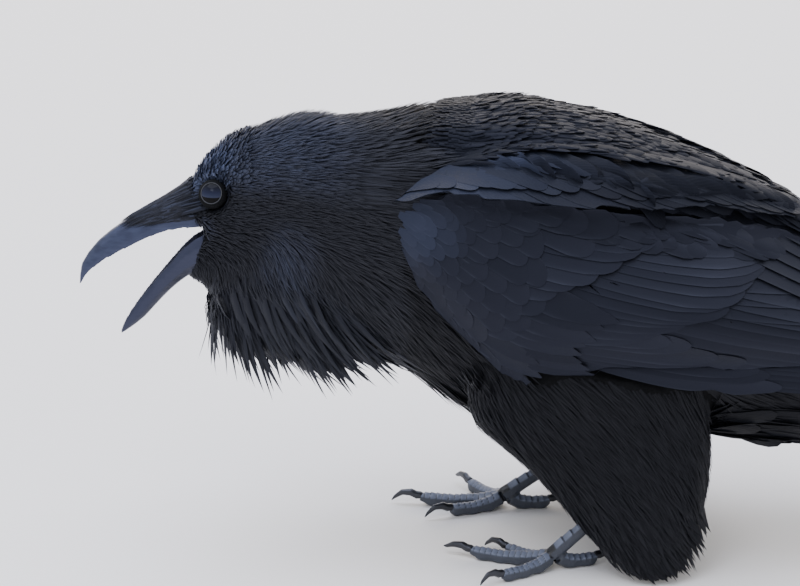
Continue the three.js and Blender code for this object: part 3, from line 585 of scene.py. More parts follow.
def joined(name, lots, material):
    """One object from lots of feathers. A lot has the template's vertices and faces, corners, normals, a tone
    and an amount of gloss and painted light for each feather, and each root's place on the flat map."""
    points, bends, triangles, vane, bake, tones, glosses_and_painted_light, first = [], [], [], [], [], [], [], 0
    for verts, faces, corners_laid, normals, tone, gloss, places in lots:
        count, size = corners_laid.shape[:2]
        points.append(corners_laid.reshape(-1, 3))
        bends.append(normals.reshape(-1, 3))
        index = faces[None] + (np.arange(count) * size)[:, None, None] + first
        triangles.append(index.reshape(-1, 3))
        own = np.stack([(verts[:, 1] + 1) / 2, verts[:, 0]], axis=1)[faces].reshape(-1, 2)
        vane.append(np.tile(own, (count, 1)))
        bake.append((places[:, None] + (own[None] - 0.5) * PATCH).reshape(-1, 2))
        tones.append(np.repeat(tone, size))
        glosses_and_painted_light.append(np.repeat(gloss, size))
        first += count * size
    points, triangles = np.concatenate(points) * MM, np.concatenate(triangles)
    points[:, 2] = np.maximum(points[:, 2], FLOOR_GAP * MM)
    mesh = bpy.data.meshes.new(name)
    mesh.vertices.add(len(points))
    fill(mesh.vertices, "co", points)
    mesh.loops.add(triangles.size)
    mesh.loops.foreach_set("vertex_index", triangles.ravel().astype(np.int32))
    mesh.polygons.add(len(triangles))
    mesh.polygons.foreach_set("loop_start", np.arange(0, triangles.size, 3, dtype=np.int32))
    mesh.polygons.foreach_set("use_smooth", np.ones(len(triangles), dtype=bool))
    for layer, values in (("Vane", vane), ("OFBake", bake)):
        fill(mesh.uv_layers.new(name=layer).data, "uv", np.concatenate(values))
    for layer, values in (("tone", tones), ("gloss", glosses_and_painted_light)):
        fill(mesh.attributes.new(layer, "FLOAT", "POINT").data, "value", np.concatenate(values))
    mesh.update(calc_edges=True)
    mesh.normals_split_custom_set_from_vertices(np.concatenate(bends).astype(np.float32))
    mesh.materials.append(material)
    made = bpy.data.objects.new(name, mesh)
    bpy.context.scene.collection.objects.link(made)
    return made


# %% [markdown]
# ## Where feathers grow, and how they lie
# Feathers run back from the bill, down the sides of the neck, back over the breast, and down
# the thighs. They are smallest on the face, hair-like on the neck, and broad on the back.
# Painting this by hand would be slow and couldn't be changed. So a plan gives every face of
# the skin its feathers' length, width, spacing and direction, from its place on the body.

# %% The lean of the head
HEAD_ROLL = math.radians(-12)  # crown to the bird's right
ROLL_AXIS_Z = 165
ROLL_FROM, ROLL_FULL = 140, 215  # how far ahead of the frame's middle the lean starts and ends


def step(values, low, high):
    """0 up to low, 1 from high on, and smooth between."""
    part = np.clip((values - low) / (high - low), 0, 1)
    return part * part * (3 - 2 * part)


def rolled(points, roll):
    """Points turned about the head's long axis, the neck's less than the face's."""
    angle = roll * step(-points[:, 0], ROLL_FROM, ROLL_FULL)
    y, z = points[:, 1], points[:, 2] - ROLL_AXIS_Z
    turned_y = y * np.cos(angle) - z * np.sin(angle)
    turned_z = ROLL_AXIS_Z + y * np.sin(angle) + z * np.cos(angle)
    return np.stack([points[:, 0], turned_y, turned_z], axis=1)


def leaned(points):
    """Points of an upright head where the leaning head has them."""
    return rolled(np.asarray(points, float), HEAD_ROLL)


# %% What each face of the skin belongs to
face_points = corners[quads]
centres = face_points.mean(axis=1)
outward = unit(corner_normals[quads].sum(axis=1))
diagonals = face_points[:, 2] - face_points[:, 0], face_points[:, 3] - face_points[:, 1]
areas = np.linalg.norm(np.cross(*diagonals), axis=1) / 2
families = {
    "bill": ("bill_upper", "bill_lower"),
    "body": ("head", "neck", "trunk"),
    "thigh": ("thigh_left", "thigh_right"),
    "wing": ("wing_left", "wing_right", "primaries_left", "primaries_right"),
    "scapular": ("scapulars_left", "scapulars_right"),
}
trees = {name: BVHTree.FromBMesh(node_copy(*nodes)) for name, nodes in families.items()}

OVER = 7.0  # rays start this far outside the skin and look in
MISS = 1000.0  # stands for a ray that meets nothing
WING_NEAR, WING_FAR = 3.2, 14.0  # a wing within this over the skin hides its feathers
WING_SINK = 2.4  # the vanes need more room than the coat, so the skin lies deeper under them


def first_hits(tree, starts, ways, reach):
    """How far from each start its ray meets a solid, or far more than the reach."""
    hits = (tree.ray_cast(p, d, reach) for p, d in zip(starts.tolist(), ways.tolist()))
    return np.array([MISS if hit[0] is None else hit[3] for hit in hits])


from_over = centres + outward * OVER
seen = np.stack([first_hits(tree, from_over, -outward, OVER + 1) for tree in trees.values()])
nearest = np.array([[tree.find_nearest(p)[3] for p in centres.tolist()] for tree in trees.values()])
closest = np.where(seen.min(axis=0) < MISS, seen.argmin(axis=0), nearest.argmin(axis=0))
family = np.array(list(families))[closest]
folded_wing = BVHTree.FromBMesh(node_copy(*families["wing"], *families["scapular"]))
under_wing = first_hits(folded_wing, centres + outward * WING_NEAR, outward, WING_FAR) < WING_FAR
hidden = np.isin(family, ("body", "thigh")) & under_wing
x, side_y, z = rolled(centres, -HEAD_ROLL).T

sunk_faces = quads[(family == "wing") & (outward[:, 1] * np.sign(centres[:, 1]) > 0.25)]
sink = np.zeros(len(corners))
np.add.at(sink, sunk_faces.ravel(), 0.25)
corners -= corner_normals * (np.minimum(sink, 1) * WING_SINK)[:, None]
skin_mesh.vertices.foreach_set("co", (corners * MM).ravel())
skin_mesh.update()
print("faces by family", {name: int((family == name).sum()) for name in families})
print("hidden under the wings", int(hidden.sum()))

# %% [markdown]
# Length, width and spacing are tables along the body, one for the back and one for the
# side, and blend by how high on the body's section a face lies.

# %% Length, width and spacing
AXIS = (  # the body's middle line, x and z
    (-252, -206, -168, -90, -23, 26, 62, 90, 128, 168),
    (161, 165, 157, 152, 145, 133, 116, 102, 89, 77),
)
# 90 on the back, 0 on the side and -90 on the belly
rise = np.degrees(np.arctan2(z - np.interp(x, *AXIS), np.abs(side_y)))
STATIONS = (-250, -225, -205, -170, -140, -100, -40, 20, 70, 120, 165)
BACK = (  # length, width, spacing at each station
    (4.5, 7, 9, 15, 21, 27, 31, 32, 34, 42, 46),
    (1.1, 1.3, 1.2, 1.3, 1.9, 3.2, 4.8, 7.2, 12, 15, 16),
    (0.95, 1.1, 1.15, 1.3, 1.8, 2.5, 3.3, 4.5, 7, 9, 10),
)
FLANK = (
    (4.5, 8, 11, 17, 22, 26, 29, 30, 34, 40, 44),
    (0.9, 1.0, 1.1, 1.2, 1.3, 1.5, 1.7, 2.2, 5, 10, 12),
    (0.95, 1.1, 1.25, 1.35, 1.5, 1.75, 1.9, 2.2, 4, 8, 10),
)
dorsal = step(rise, 12, 40)
length, width, spacing = (
    np.interp(x, STATIONS, flank) * (1 - dorsal) + np.interp(x, STATIONS, back) * dorsal
    for back, flank in zip(BACK, FLANK)
)
on_thigh, on_scapular, on_wing = (family == name for name in ("thigh", "scapular", "wing"))
length[on_wing], width[on_wing], spacing[on_wing] = 34, 10, 5
length[on_thigh], width[on_thigh], spacing[on_thigh] = 27, 1.4, 1.75
broad = (((dorsal > 0.5) & (x > -132)) | (x > 62)) & ~on_thigh
ALONG_FOLD = (-145, -110, -60, 40)
length[on_scapular] = np.interp(x, ALONG_FOLD, (14, 24, 32, 38))[on_scapular]
width[on_scapular] = np.interp(x, ALONG_FOLD, (6, 10, 12, 13))[on_scapular]
spacing[on_scapular] = 0.55 * width[on_scapular]
print("feathers", length.min().round(1), "to", length.max().round(1), "mm long")

# %% The lie of the feathers
fall = 0.12 + 0.95 * step(-rise, -15, 45) * step(x, -230, -140)  # side feathers run down too
fall *= 1 - 0.6 * step(x, -60, 20)
none, one = np.zeros_like(x), np.ones_like(x)
lie = np.stack([one, none, -fall], axis=1)
lie[on_thigh] = np.stack([1.0 - 0.65 * step(x, -70, 10), none, -one], axis=1)[on_thigh]
lie[(x < -245) & (z > 169) & (z < 184)] = (-1, 0, -0.2)  # the lores, in front of the eye
lie[on_wing] = (1, 0, -0.38)
print("side feathers fall by", fall.min().round(2), "to", fall.max().round(2))

# %% Round the eyes
EYE_PLACE, EYE_RADIUS = (-235, 12.2, 180.4), 7.2  # before the lean, and on both sides
BARE_ROUND_EYE = 7.4  # skin nearer than this to the eye's middle is bare
EYES = {
    name: leaned([[EYE_PLACE[0], side * EYE_PLACE[1], EYE_PLACE[2]]])[0] for name, side in SIDES.items()
}
from_eye = np.min([np.linalg.norm(centres - eye, axis=1) for eye in EYES.values()], axis=0)
near_eye = 1 - step(from_eye, 8.5, 17)
length *= 1 - 0.6 * near_eye
width *= 1 - 0.3 * near_eye
spacing *= 1 - 0.25 * near_eye
width[(x < -222) & (z > 186)] *= 1.7  # small scale-like feathers on the forehead
print("eyes at", {name: place.round(1).tolist() for name, place in EYES.items()})

# %% The throat, and what stays bare
HACKLE_TOP = np.interp(
    x, (-246, -240, -225, -205, -185, -165, -150), (134, 137, 141, 150, 145, 129, 110)
)
ragged_top = HACKLE_TOP + rng.normal(0, 2.5, len(x))
throat = (x > -246) & (x < -150) & (z < ragged_top) & (family != "bill")
sweep = np.interp(x, (-246, -225, -205, -185, -165, -150), (0.0, 0.1, 0.28, 0.5, 0.85, 1.15))
throat_lie = np.stack([sweep, 0.16 * np.sign(side_y), -one], axis=1)
# the cheek's feathers turn down to the throat
towards = (1 - step(z - HACKLE_TOP, 0, 22))[:, None] * ((x < -165) & (family == "body"))[:, None]
lie = unit(lie) * (1 - towards) + unit(throat_lie) * towards
mouth_sides = (np.abs(side_y) < 19.5) & (np.abs(outward[:, 2]) > 0.45)
in_mouth = (x < -218) & (z < 165) & (z > 150) & mouth_sides
bare = (family == "bill") | in_mouth | (from_eye < BARE_ROUND_EYE) | hidden
print("throat faces", int(throat.sum()), "bare faces", int(bare.sum()))

# %% Gloss with painted light, and where the feathers stand higher
# Each spot's amount is gloss and painted light together: above 0 a painted sheen, lighter and bluer; on the
# chin the amount below 0 is painted shade, and on the lores it is darker and less glossy.
GLOSS_AND_PAINTED_LIGHT_SPOTS = (  # place beside the middle, size, and how much glossier it is
    ((-241, 8, 191), 19, 1.3),  # forehead
    ((-204, 33, 154), 20, 0.4),  # cheek
    ((-236, 15, 172), 22, -0.25),  # lores
    ((-241, 13, 164), 9, 0.5),  # beside the corner of the mouth
    ((-235, 10, 143), 20, -0.6),  # chin
)
PAINTED_LIGHT_AND_GLOSS_LEAST, PAINTED_LIGHT_AND_GLOSS_MOST = -1, 1.4
PUFFED = (  # along the upper line, and how much higher its feathers stand over the skin
    (-246, -236, -226, -218, -196, -183, -168, -150, -138, -122, -107, -92, -70, -50, -22, 0, 30),
    (0.6, 2.5, 3.0, 0.8, 3.2, 0.4, 1.6, 2.4, -2.0, 3.6, 4.2, 2.0, 2.8, 2.0, 2.2, 2.4, 0.8),
)


def spot(place, size):
    """1 at a place on either side of the head, 0 from `size` away."""
    away = np.linalg.norm(np.stack([x, np.abs(side_y), z], axis=1) - place, axis=1)
    return 1 - step(away, 0.3 * size, size)


gloss_and_painted_light_plan = sum(amount * spot(place, size) for place, size, amount in GLOSS_AND_PAINTED_LIGHT_SPOTS)
# a painted highlight on the crown
gloss_and_painted_light_plan += 0.45 * step(rise, 30, 60) * (1 - step(x, -200, -160))  # the crown
# and a painted highlight on the front of the scapular fold
gloss_and_painted_light_plan = np.clip(gloss_and_painted_light_plan + 0.75 * on_scapular * step(-x, 60, 130), PAINTED_LIGHT_AND_GLOSS_LEAST, PAINTED_LIGHT_AND_GLOSS_MOST)
puff = np.interp(x, *PUFFED) * step(rise, 42, 72) * (family == "body")
print("gloss", gloss_and_painted_light_plan.min().round(2), "to", gloss_and_painted_light_plan.max().round(2), "puff up to", puff.max().round(1))

# %% [markdown]
# ## Scattering the roots
# Roots that fall at random clump and leave holes. Real follicles keep their distance. So
# many points are thrown on the skin, more where the plan wants them close, and a point is
# kept only if no kept one is much nearer than its spacing.

# %% Scattering
SURPLUS = 4.0  # points thrown for each that has room
CROWDING = 0.78  # a neighbour may come this near, as a share of the spacing


def scatter(chosen, gap):
    """Roots on the chosen faces: face index, point, normal."""
    faces = np.flatnonzero(chosen)
    weight = areas[faces] / gap[faces] ** 2
    picked = rng.choice(faces, size=int(weight.sum() * SURPLUS), p=weight / weight.sum())
    a, b = rng.random((2, len(picked), 1))
    blend = [(1 - a) * (1 - b), a * (1 - b), a * b, (1 - a) * b]
    spots = sum(f * corners[quads[picked, k]] for k, f in enumerate(blend))
    normals = unit(sum(f * corner_normals[quads[picked, k]] for k, f in enumerate(blend)))
    cell = float(gap[faces].max())
    around = [(i, j, k) for i in (-1, 0, 1) for j in (-1, 0, 1) for k in (-1, 0, 1)]
    boxes, kept = {}, []  # kept points by the box of space that they are in
    for i, (place, reach) in enumerate(zip(spots.tolist(), gap[picked].tolist())):
        px, py, pz = place
        kx, ky, kz = key = tuple(int(c // cell) for c in place)
        near = (other for dx, dy, dz in around for other in boxes.get((kx + dx, ky + dy, kz + dz), ()))
        limit = (CROWDING * reach) ** 2
        if all((px - ox) ** 2 + (py - oy) ** 2 + (pz - oz) ** 2 > limit for ox, oy, oz in near):
            boxes.setdefault(key, []).append(place)
            kept.append(i)
    return picked[kept], spots[kept], normals[kept]


# %% [markdown]
# A feather goes half its length over the skin, turns with the skin there, and goes on to its
# tip. Where the skin ends, as at the trousers' hem, the tip hangs free. Where a feather comes
# to the folded wing, it goes in under it.

# %% Combing
FREE_FROM = 0.28  # a tip this share of its length off the skin hangs free
FALL_IN = 0.25  # and falls back in towards the leg by this share
HALF_OVER, TIP_OVER = 1.6, 1.4  # how much higher it stands over the families of `over`
HALF_UNDER, TIP_UNDER = -3.0, -4.0  # how deep it goes under those of `under`
ROOT_PUFF = 0.8  # where feathers stand higher, their roots do by this share


def combed(roots, normals, ways, lengths, stand, sunk=0.5, under=("wing",), over=("scapular",)):
    """Three points of each feather's line, and the skin's normals at both ends. It goes under
    the families named in `under`, and well over those in `over`."""
    lengths, stand = lengths[:, None], stand[:, None]
    ways = unit(ways - normals * dot(ways, normals))
    half, half_up, half_face = along_skin(skin_tree, roots + ways * lengths / 2)
    onward = unit(ways - half_up * dot(ways, half_up))
    aim = half + onward * lengths / 2
    end, end_up, end_face = along_skin(skin_tree, aim)
    free = np.linalg.norm(aim - end, axis=1, keepdims=True) > FREE_FROM * lengths
    aim[:, 1:2] -= FALL_IN * lengths * half_up[:, 1:2]
    end_up = np.where(free, half_up, end_up)
    half_stand = (stand - sunk) * 0.55 + HALF_OVER * np.isin(family[half_face], over)[:, None]
    half_stand = np.where(np.isin(family[half_face], under)[:, None], HALF_UNDER, half_stand)
    end_stand = stand + TIP_OVER * np.isin(family[end_face], over)[:, None]
    end_stand = np.where(np.isin(family[end_face], under)[:, None], TIP_UNDER, end_stand)
    ends = np.where(free, aim + half_up * stand * 0.5, end + end_up * end_stand)
    starts = roots - normals * sunk
    bends = 2 * (half + half_up * half_stand) - (starts + ends) / 2
    return starts, bends, ends, normals, unit(end_up)


def coat(
    name, chosen, template, thickness, spread, stand=COAT, sunk=0.5, under=("wing",), over=("scapular",)
):
    """A lot of body feathers over the chosen faces."""
    picked, roots, normals = scatter(chosen & ~bare, spacing)
    count = len(picked)
    ways = lie[picked] + rng.normal(0, spread, (count, 3))
    to_floor = 1.05 * roots[:, 2] + 1
    lengths = np.minimum(length[picked] * rng.uniform(0.85, 1.15, count), to_floor)
    heights = stand * rng.uniform(0.8, 1.15, count) * (1 - 0.5 * near_eye[picked]) + puff[picked]
    roots = roots + normals * puff[picked][:, None] * ROOT_PUFF
    line = combed(roots, normals, ways, lengths, heights, sunk, under, over)
    corners_laid, bent = laid(
        template, line, width[picked] * rng.uniform(0.85, 1.2, count), thickness, rng.normal(0, 0.15, count)
    )
    print(name, count, "feathers")
    gloss = gloss_and_painted_light_plan[picked] * rng.uniform(0.4, 1.4, count)
    return (*template, corners_laid, bent, rng.random(count), gloss, quad_place[picked])


# %% Body feathers
NECK_FROM, NECK_TO = -197, -150
on_body = (family == "body") & ~throat
forehead = on_body & (x < -222) & (z > 186)
head_side = on_body & (x < NECK_FROM) & ~forehead
neck = on_body & (x >= NECK_FROM) & (x < NECK_TO)
behind_neck = on_body & (x >= NECK_TO)
lots = [
    coat("forehead", forehead, SCALE, 0.12, 0.1, 2.0, 0.2),
    coat("head", head_side, STRAND, 0.25, 0.07, 2.2),
]
ride(joined("coat_head", lots, loose_plumage), "plumage")
# where the neck meets the wing, longer feathers go over the scapulars and not under them
shoulder = (family == "body") & (x > -172) & (x < -140) & (z > 184) & (np.abs(side_y) > 25)
length[shoulder] = 30
lots = [
    coat("neck", neck & ~shoulder, STRAND, 0.25, 0.07, 2.4),
    coat("shoulder", shoulder, STRAND, 0.3, 0.06, 3.4, 0.2, (), ("scapular", "wing")),
]
ride(joined("coat_neck", lots, loose_plumage), "plumage")
lots = [coat("breast", behind_neck & ~broad & ~shoulder, STRAND, 0.3, 0.08)]
ride(joined("coat_breast", lots, plumage), "plumage")
lots = [coat("back", behind_neck & broad, SCALE, 0.15, 0.06, 1.5, -0.8)]
ride(joined("coat_back", lots, mantle_keratin), "plumage")
for name, side in SIDES.items():
    lot = coat("thigh " + name, on_thigh & (side_y * side > 0), STRAND, 0.3, 0.09, 2.8)
    ride(joined("coat_thigh_" + name, [lot], plumage), "plumage")

# %% [markdown]
# ## Feathers that hang free
# A calling raven raises the long pointed hackles of its throat. Their roots sit all over
# throat and lower cheek. They lie back along the neck and hang free at their tips, so that
# light shows between them. So these don't follow the skin round: each goes straight on from
# its root. The flank feathers bridge the corner between breast and thigh in the same way,
# the hem of the trousers ends in a fringe, and the feathers of the vent stand off the tail.

# %% Hanging feathers
OFF_SKIN = 2  # a tip this far past the skin, along its way, hangs free
SWAY = 0.12  # tips sway back by about this share of the length


def hanging(
    chosen, gap, template, widths, reach, ways, stand=3.0, ragged=0.62, thickness=0.4, cling=0.9
):
    """A lot of feathers with their length and direction given for every face of the skin. The
    shortest have the share `ragged` of it, and `cling` is how closely they keep to its slope."""
    picked, roots, normals = scatter(chosen & ~bare, np.full(len(x), float(gap)))
    count = len(picked)
    ways = unit(unit(ways[picked]) + rng.normal(0, 0.06, (count, 3)))
    ways = unit(ways - normals * dot(ways, normals) * cling)
    lengths = (reach[picked] * rng.uniform(ragged, 1.1, count))[:, None]
    lifts = stand * rng.uniform(0.6, 1.3, (count, 1))
    aims = roots + ways * lengths
    ends, end_up, _ = along_skin(skin_tree, aims)
    free = dot(aims - ends, ways) > OFF_SKIN
    ends = np.where(free, aims + normals * lifts * 0.5, ends + end_up * lifts)
    ends[:, 0] += SWAY * lengths[:, 0] * rng.uniform(0.3, 1.5, count)
    half, half_up, _ = along_skin(skin_tree, roots + ways * lengths / 2)
    over = half + half_up * lifts * 0.7
    straight = roots + ways * lengths / 2 + normals * lifts
    bends = 2 * np.where(free, 0.5 * over + 0.5 * straight, over) - (roots + ends) / 2
    up = unit(np.where(free, normals + half_up, end_up))
    line = (roots - normals * 0.5, bends, ends, normals, up)
    wide = rng.uniform(*widths, count)
    corners_laid, bent = laid(template, line, wide, thickness, rng.normal(0, 0.3, count), 0.7)
    gloss = gloss_and_painted_light_plan[picked] * rng.uniform(0.3, 1.3, count)
    return (*template, corners_laid, bent, rng.random(count), gloss, quad_place[picked])


def every_face(*vector):
    """The same direction for all faces."""
    return np.tile(np.array(vector, float), (len(x), 1))


# %% Throat hackles
HACKLE_TIPS = (  # how far down they hang along the throat, x and z
    (-246, -240, -234, -229, -222, -207, -190, -175, -160, -140),
    (116, 110, 108, 90, 83, 80, 79, 84, 88, 90),
)
hang = (centres[:, 2] - np.interp(x + 8, *HACKLE_TIPS)) * np.sqrt(1 + sweep**2)
chin = throat & (x < -232) & (np.abs(side_y) < 16)
lots = [
    hanging(throat, 1.6, STRAND, (1.0, 1.6), np.clip(0.5 * hang, 8, 18), throat_lie, 2.4),
    hanging(throat & (z < HACKLE_TOP - 4), 2.9, HACKLE, (2.4, 4.4), np.clip(hang, 14, 46), throat_lie),
    hanging(chin, 2.0, STRAND, (0.9, 1.5), np.full(len(x), 14.0), every_face(-0.3, 0, -1)),
]
ride(joined("hackles", lots, hackle_keratin), "plumage", "throat_hackles")

# %% Flank, hem and vent
under_side = (family == "body") & (outward[:, 2] < 0.3)
flank = under_side & (x > -150) & (x < -96) & (z < 112) & (np.abs(side_y) > 14)
hem = on_thigh & (centres[:, 2] < 42) & (x > -50)
vent = (family == "body") & (x > -8) & (x < 34) & (z < 78) & (outward[:, 2] < 0.2)
hem_reach = np.clip((centres[:, 2] - 1) * 0.95, 3, 20)
flank_reach, vent_reach = np.full(len(x), 42.0), np.full(len(x), 40.0)
flank_way, hem_way, vent_way = every_face(1, 0, -0.9), every_face(0.42, 0, -1), every_face(1, 0, -0.22)
lots = [
    hanging(flank, 1.5, STRAND, (1.3, 2.0), flank_reach, flank_way, 1.0, 0.8, 0.4, 0.15),
    hanging(hem, 2.3, HACKLE, (1.6, 2.8), hem_reach, hem_way, 2.6),
    hanging(vent, 4.5, SCALE, (8, 12), vent_reach, vent_way, 3.0, 0.7, 0.2),
]
ride(joined("coat_fringes", lots, plumage), "plumage")

# %% [markdown]
# ## Bristles over the bill's root
# Stiff bristly feathers grow forward from the forehead over the nostrils. They are thin
# lances pressed to the horn, laid on the bill's own surface in the same way.

# %% Nasal bristles
BRISTLES = 1300  # on each side
RIDGE_Z, EDGE_DROP = 189, 20.2  # height of the bill's ridge, and of its cutting edge below it
face_tree = BVHTree.FromBMesh(node_copy("head", "bill_upper", "bill_lower"))


def bristles(side):
    """From beside the eye forward. Share 0 is the ridge of the bill, 1 its cutting edge."""
    share = rng.random(BRISTLES)
    foremost = np.interp(share, (0, 0.35, 1), (240, 238, 237))
    back = foremost + np.interp(share, (0, 0.35), (24, 15)) * rng.random(BRISTLES)
    out = np.interp(share, (0, 0.4, 1), (0.5, 9, 12))
    upright = np.stack([-back, side * out, RIDGE_Z - EDGE_DROP * share], axis=1)
    roots = leaned(upright + rng.normal(0, 0.5, (BRISTLES, 3)))
    roots = along_skin(face_tree, roots)[0]
    out = side * np.interp(share, (0, 0.4, 1), (0.1, 0.85, 1))
    top = np.interp(share, (0, 0.4, 1), (1, 0.5, 0.15))
    up = unit(np.stack([np.full(BRISTLES, -0.1), out, top], axis=1))
    slope = -0.54 + 0.34 * share  # those on the ridge follow it down
    ways = np.stack([-np.ones(BRISTLES), np.zeros(BRISTLES), slope], axis=1)
    ways = unit(ways + rng.normal(0, 0.05, (BRISTLES, 3)))
    longest = np.interp(share, (0, 0.5, 0.8, 1), (27, 35, 27, 11))
    lengths = (longest * rng.uniform(0.5, 1.1, BRISTLES))[:, None]
    ends = along_skin(face_tree, roots + ways * lengths)[0] + up * rng.uniform(0.2, 0.9, (BRISTLES, 1))
    bends = 2 * (along_skin(face_tree, roots + ways * lengths / 2)[0] + up * 0.9) - (roots + ends) / 2
    sunk = np.interp(share, (0, 0.3), (1.4, 0.7)) * rng.uniform(0.3, 1.5, BRISTLES)
    at_forehead = step(-back, -249, -240) * (share < 0.4)  # their roots go in under its feathers
    sunk = (sunk + 3.2 * at_forehead)[:, None]
    line = (roots - up * sunk, bends, ends, up, up)
    corners_laid, bent = laid(STRAND, line, rng.uniform(0.7, 1.2, BRISTLES), 0.3)
    places = quad_place[along_skin(skin_tree, roots)[2]]
    tone, gloss = rng.random(BRISTLES), rng.uniform(-0.6, 0.5, BRISTLES)
    return (*STRAND, corners_laid, bent, tone, gloss, places)


ride(joined("nasal_bristles", [bristles(side) for side in SIDES.values()], loose_plumage), "plumage")

# %% [markdown]
# ## Wing, back and tail feathers
# Flight feathers and coverts are flat vanes that overlap in rows. Each is laid on a relief of
# the solid under it: rays measure how far out the node's surface is, over a plane beside it.
# A feather's root and tip are two points on that plane. It rises from root to tip, and
# slopes down from its free edge, so that the edge stands over the neighbour below.

# %% A relief of a node
SPILL = 2.0  # how far a vane may stand over the outline of its solid
RELIEF_CELL = 3.0
FAR = 250.0  # the rays start this far out


def neighbours(grid):
    """Each cell's own value and its eight neighbours', as nine grids."""
    padded = np.pad(grid, 1, mode="edge")
    rows, cols = grid.shape
    return np.stack([padded[i : i + rows, j : j + cols] for i in range(3) for j in range(3)])


def relief(tree, first, second, out, first_range, second_range):
    """Measures a solid over the plane of two directions. A place on the plane is `a` along the
    first and `b` along the second. Gives a function that lifts places to the solid's outside,
    one that keeps them in its outline, the two directions, and 1 if these and the way out are
    right-handed, or -1."""
    cell = RELIEF_CELL
    a_line = np.arange(first_range[0], first_range[1] + cell, cell)
    b_line = np.arange(second_range[0], second_range[1] + cell, cell)
    heights = np.full((len(a_line), len(b_line)), np.nan)
    for i, a in enumerate(a_line):
        for j, b in enumerate(b_line):
            hit = tree.ray_cast((first * a + second * b + out * FAR).tolist(), (-out).tolist())
            if hit[0] is not None:
                heights[i, j] = FAR - hit[3]

    hit_rows = ~np.isnan(heights)
    solid_a = a_line[hit_rows.any(axis=1)]
    lowest = np.array([b_line[hits].min() for hits in hit_rows if hits.any()])
    highest = np.array([b_line[hits].max() for hits in hit_rows if hits.any()])

    def inside(a, b):
        """Places moved in to the solid's own outline, or a little over it."""
        a = np.clip(a, solid_a[0] - SPILL, solid_a[-1] + SPILL)
        least, most = np.interp(a, solid_a, lowest) - SPILL, np.interp(a, solid_a, highest) + SPILL
        return a, np.clip(b, least, most)

    while np.isnan(heights).any():  # past the solid's edge the relief goes on level
        near = neighbours(heights)
        known = ~np.isnan(near)
        mean = np.where(known, near, 0).sum(axis=0) / np.maximum(known.sum(axis=0), 1)
        heights = np.where(np.isnan(heights) & known.any(axis=0), mean, heights)
    heights = neighbours(neighbours(heights).mean(axis=0)).mean(axis=0)
    grids = np.stack([heights, *np.gradient(heights, cell)])

    def at(a, b, lift):
        """The outside's points and normals over places on the plane, lifted by so much."""
        u = np.clip((a - a_line[0]) / cell, 0, len(a_line) - 1.001)
        v = np.clip((b - b_line[0]) / cell, 0, len(b_line) - 1.001)
        i, j = u.astype(int), v.astype(int)
        u, v = u - i, v - j
        near = grids[:, i, j] * (1 - u) + grids[:, i + 1, j] * u
        beside = grids[:, i, j + 1] * (1 - u) + grids[:, i + 1, j + 1] * u
        height, slope_a, slope_b = near * (1 - v) + beside * v
        places = first * a[..., None] + second * b[..., None] + out * (height + lift)[..., None]
        return places, unit(out - first * slope_a[..., None] - second * slope_b[..., None])

    hand = 1 if np.dot(np.cross(first, second), out) > 0 else -1
    return at, inside, (first, second), hand


# %% Rows of vanes
VANE_THICK = 0.3
EDGE_SLOPE, SLOPE_WIDTH = 0.085, 14  # how fast a vane sinks from its free edge, and how far
LEAN_BACK, LEAN_EDGE = 0.06, 0.2  # its normals lean from the free edge, most at that edge


def shingled(
    surface, template, roots, tips, widths, lifts, outer=1, bow=0.04, gloss=0.0, stray=0.8, lean=0.85,
    crisp=1.0,
):
    """A row of vanes on a relief. `outer` is the side of the free edge, along the second axis.
    That edge, and not the rachis, runs from the given root, and both meet in the tip. `lean`
    0 puts the rachis in the middle. `crisp` is how far a vane stands out from its neighbours."""
    at, inside, (first, second), hand = surface
    verts, faces = template
    count = len(roots)
    share, beside, layer = (verts[:, k][None] for k in range(3))
    roots = np.asarray(roots, float)
    tips = np.asarray(tips, float) + rng.normal(0, stray, (count, 2))
    reach = np.linalg.norm(tips - roots, axis=1)[:, None]
    ahead = (tips - roots) / reach
    across = outer * np.stack([-ahead[:, 1], ahead[:, 0]], axis=1)
    half = (np.asarray(widths) * rng.uniform(0.93, 1.08, count))[:, None] / 2
    bow, crisp = (np.asarray(v, float).reshape(-1, 1) for v in (bow, crisp))
    aside = bow * reach * 4 * share * (1 - share) + (beside - lean * (1 - share**3)) * half
    a = roots[:, :1] + ahead[:, :1] * reach * share + across[:, :1] * aside
    b = roots[:, 1:] + ahead[:, 1:] * reach * share + across[:, 1:] * aside
    a, b = inside(a, b)
    low, high = (np.asarray(v, float).reshape(-1, 1) for v in lifts)
    high = high + rng.normal(0, 0.07, (count, 1)) * crisp
    sinks = EDGE_SLOPE * crisp * np.minimum(half * (1 - beside), SLOPE_WIDTH)
    lift = low + (high - low) * share**0.7 - sinks + layer * VANE_THICK
    if outer * hand < 0:
        faces = faces[:, ::-1]
    points, normals = at(a, b, lift)
    edgeward = across[:, :1, None] * first + across[:, 1:, None] * second
    normals = unit(normals - edgeward * ((LEAN_BACK + LEAN_EDGE * beside) * crisp)[..., None])
    normals = np.where((layer < -0.5)[..., None], -normals, normals)
    tone = 0.5 + (rng.random(count) - 0.5) * np.minimum(crisp, 1)[:, 0] * np.ones(count)
    follicles = at(roots[:, 0], roots[:, 1], np.zeros(count))[0]
    places = quad_place[along_skin(skin_tree, follicles)[2]]
    return verts, faces, points, normals, tone, gloss * np.ones(count), places


# %% Even steps along a row
def row(count, *tracks):
    """Each track, a list of numbers or of points, as `count` values evenly along it."""
    share = np.linspace(0, 1, count)
    out = []
    for track in tracks:
        track = np.asarray(track, float)
        stops = np.linspace(0, 1, len(track))
        columns = [np.interp(share, stops, column) for column in track.reshape(len(track), -1).T]
        out.append(np.stack(columns, axis=1) if track.ndim == 2 else columns[0])
    return out


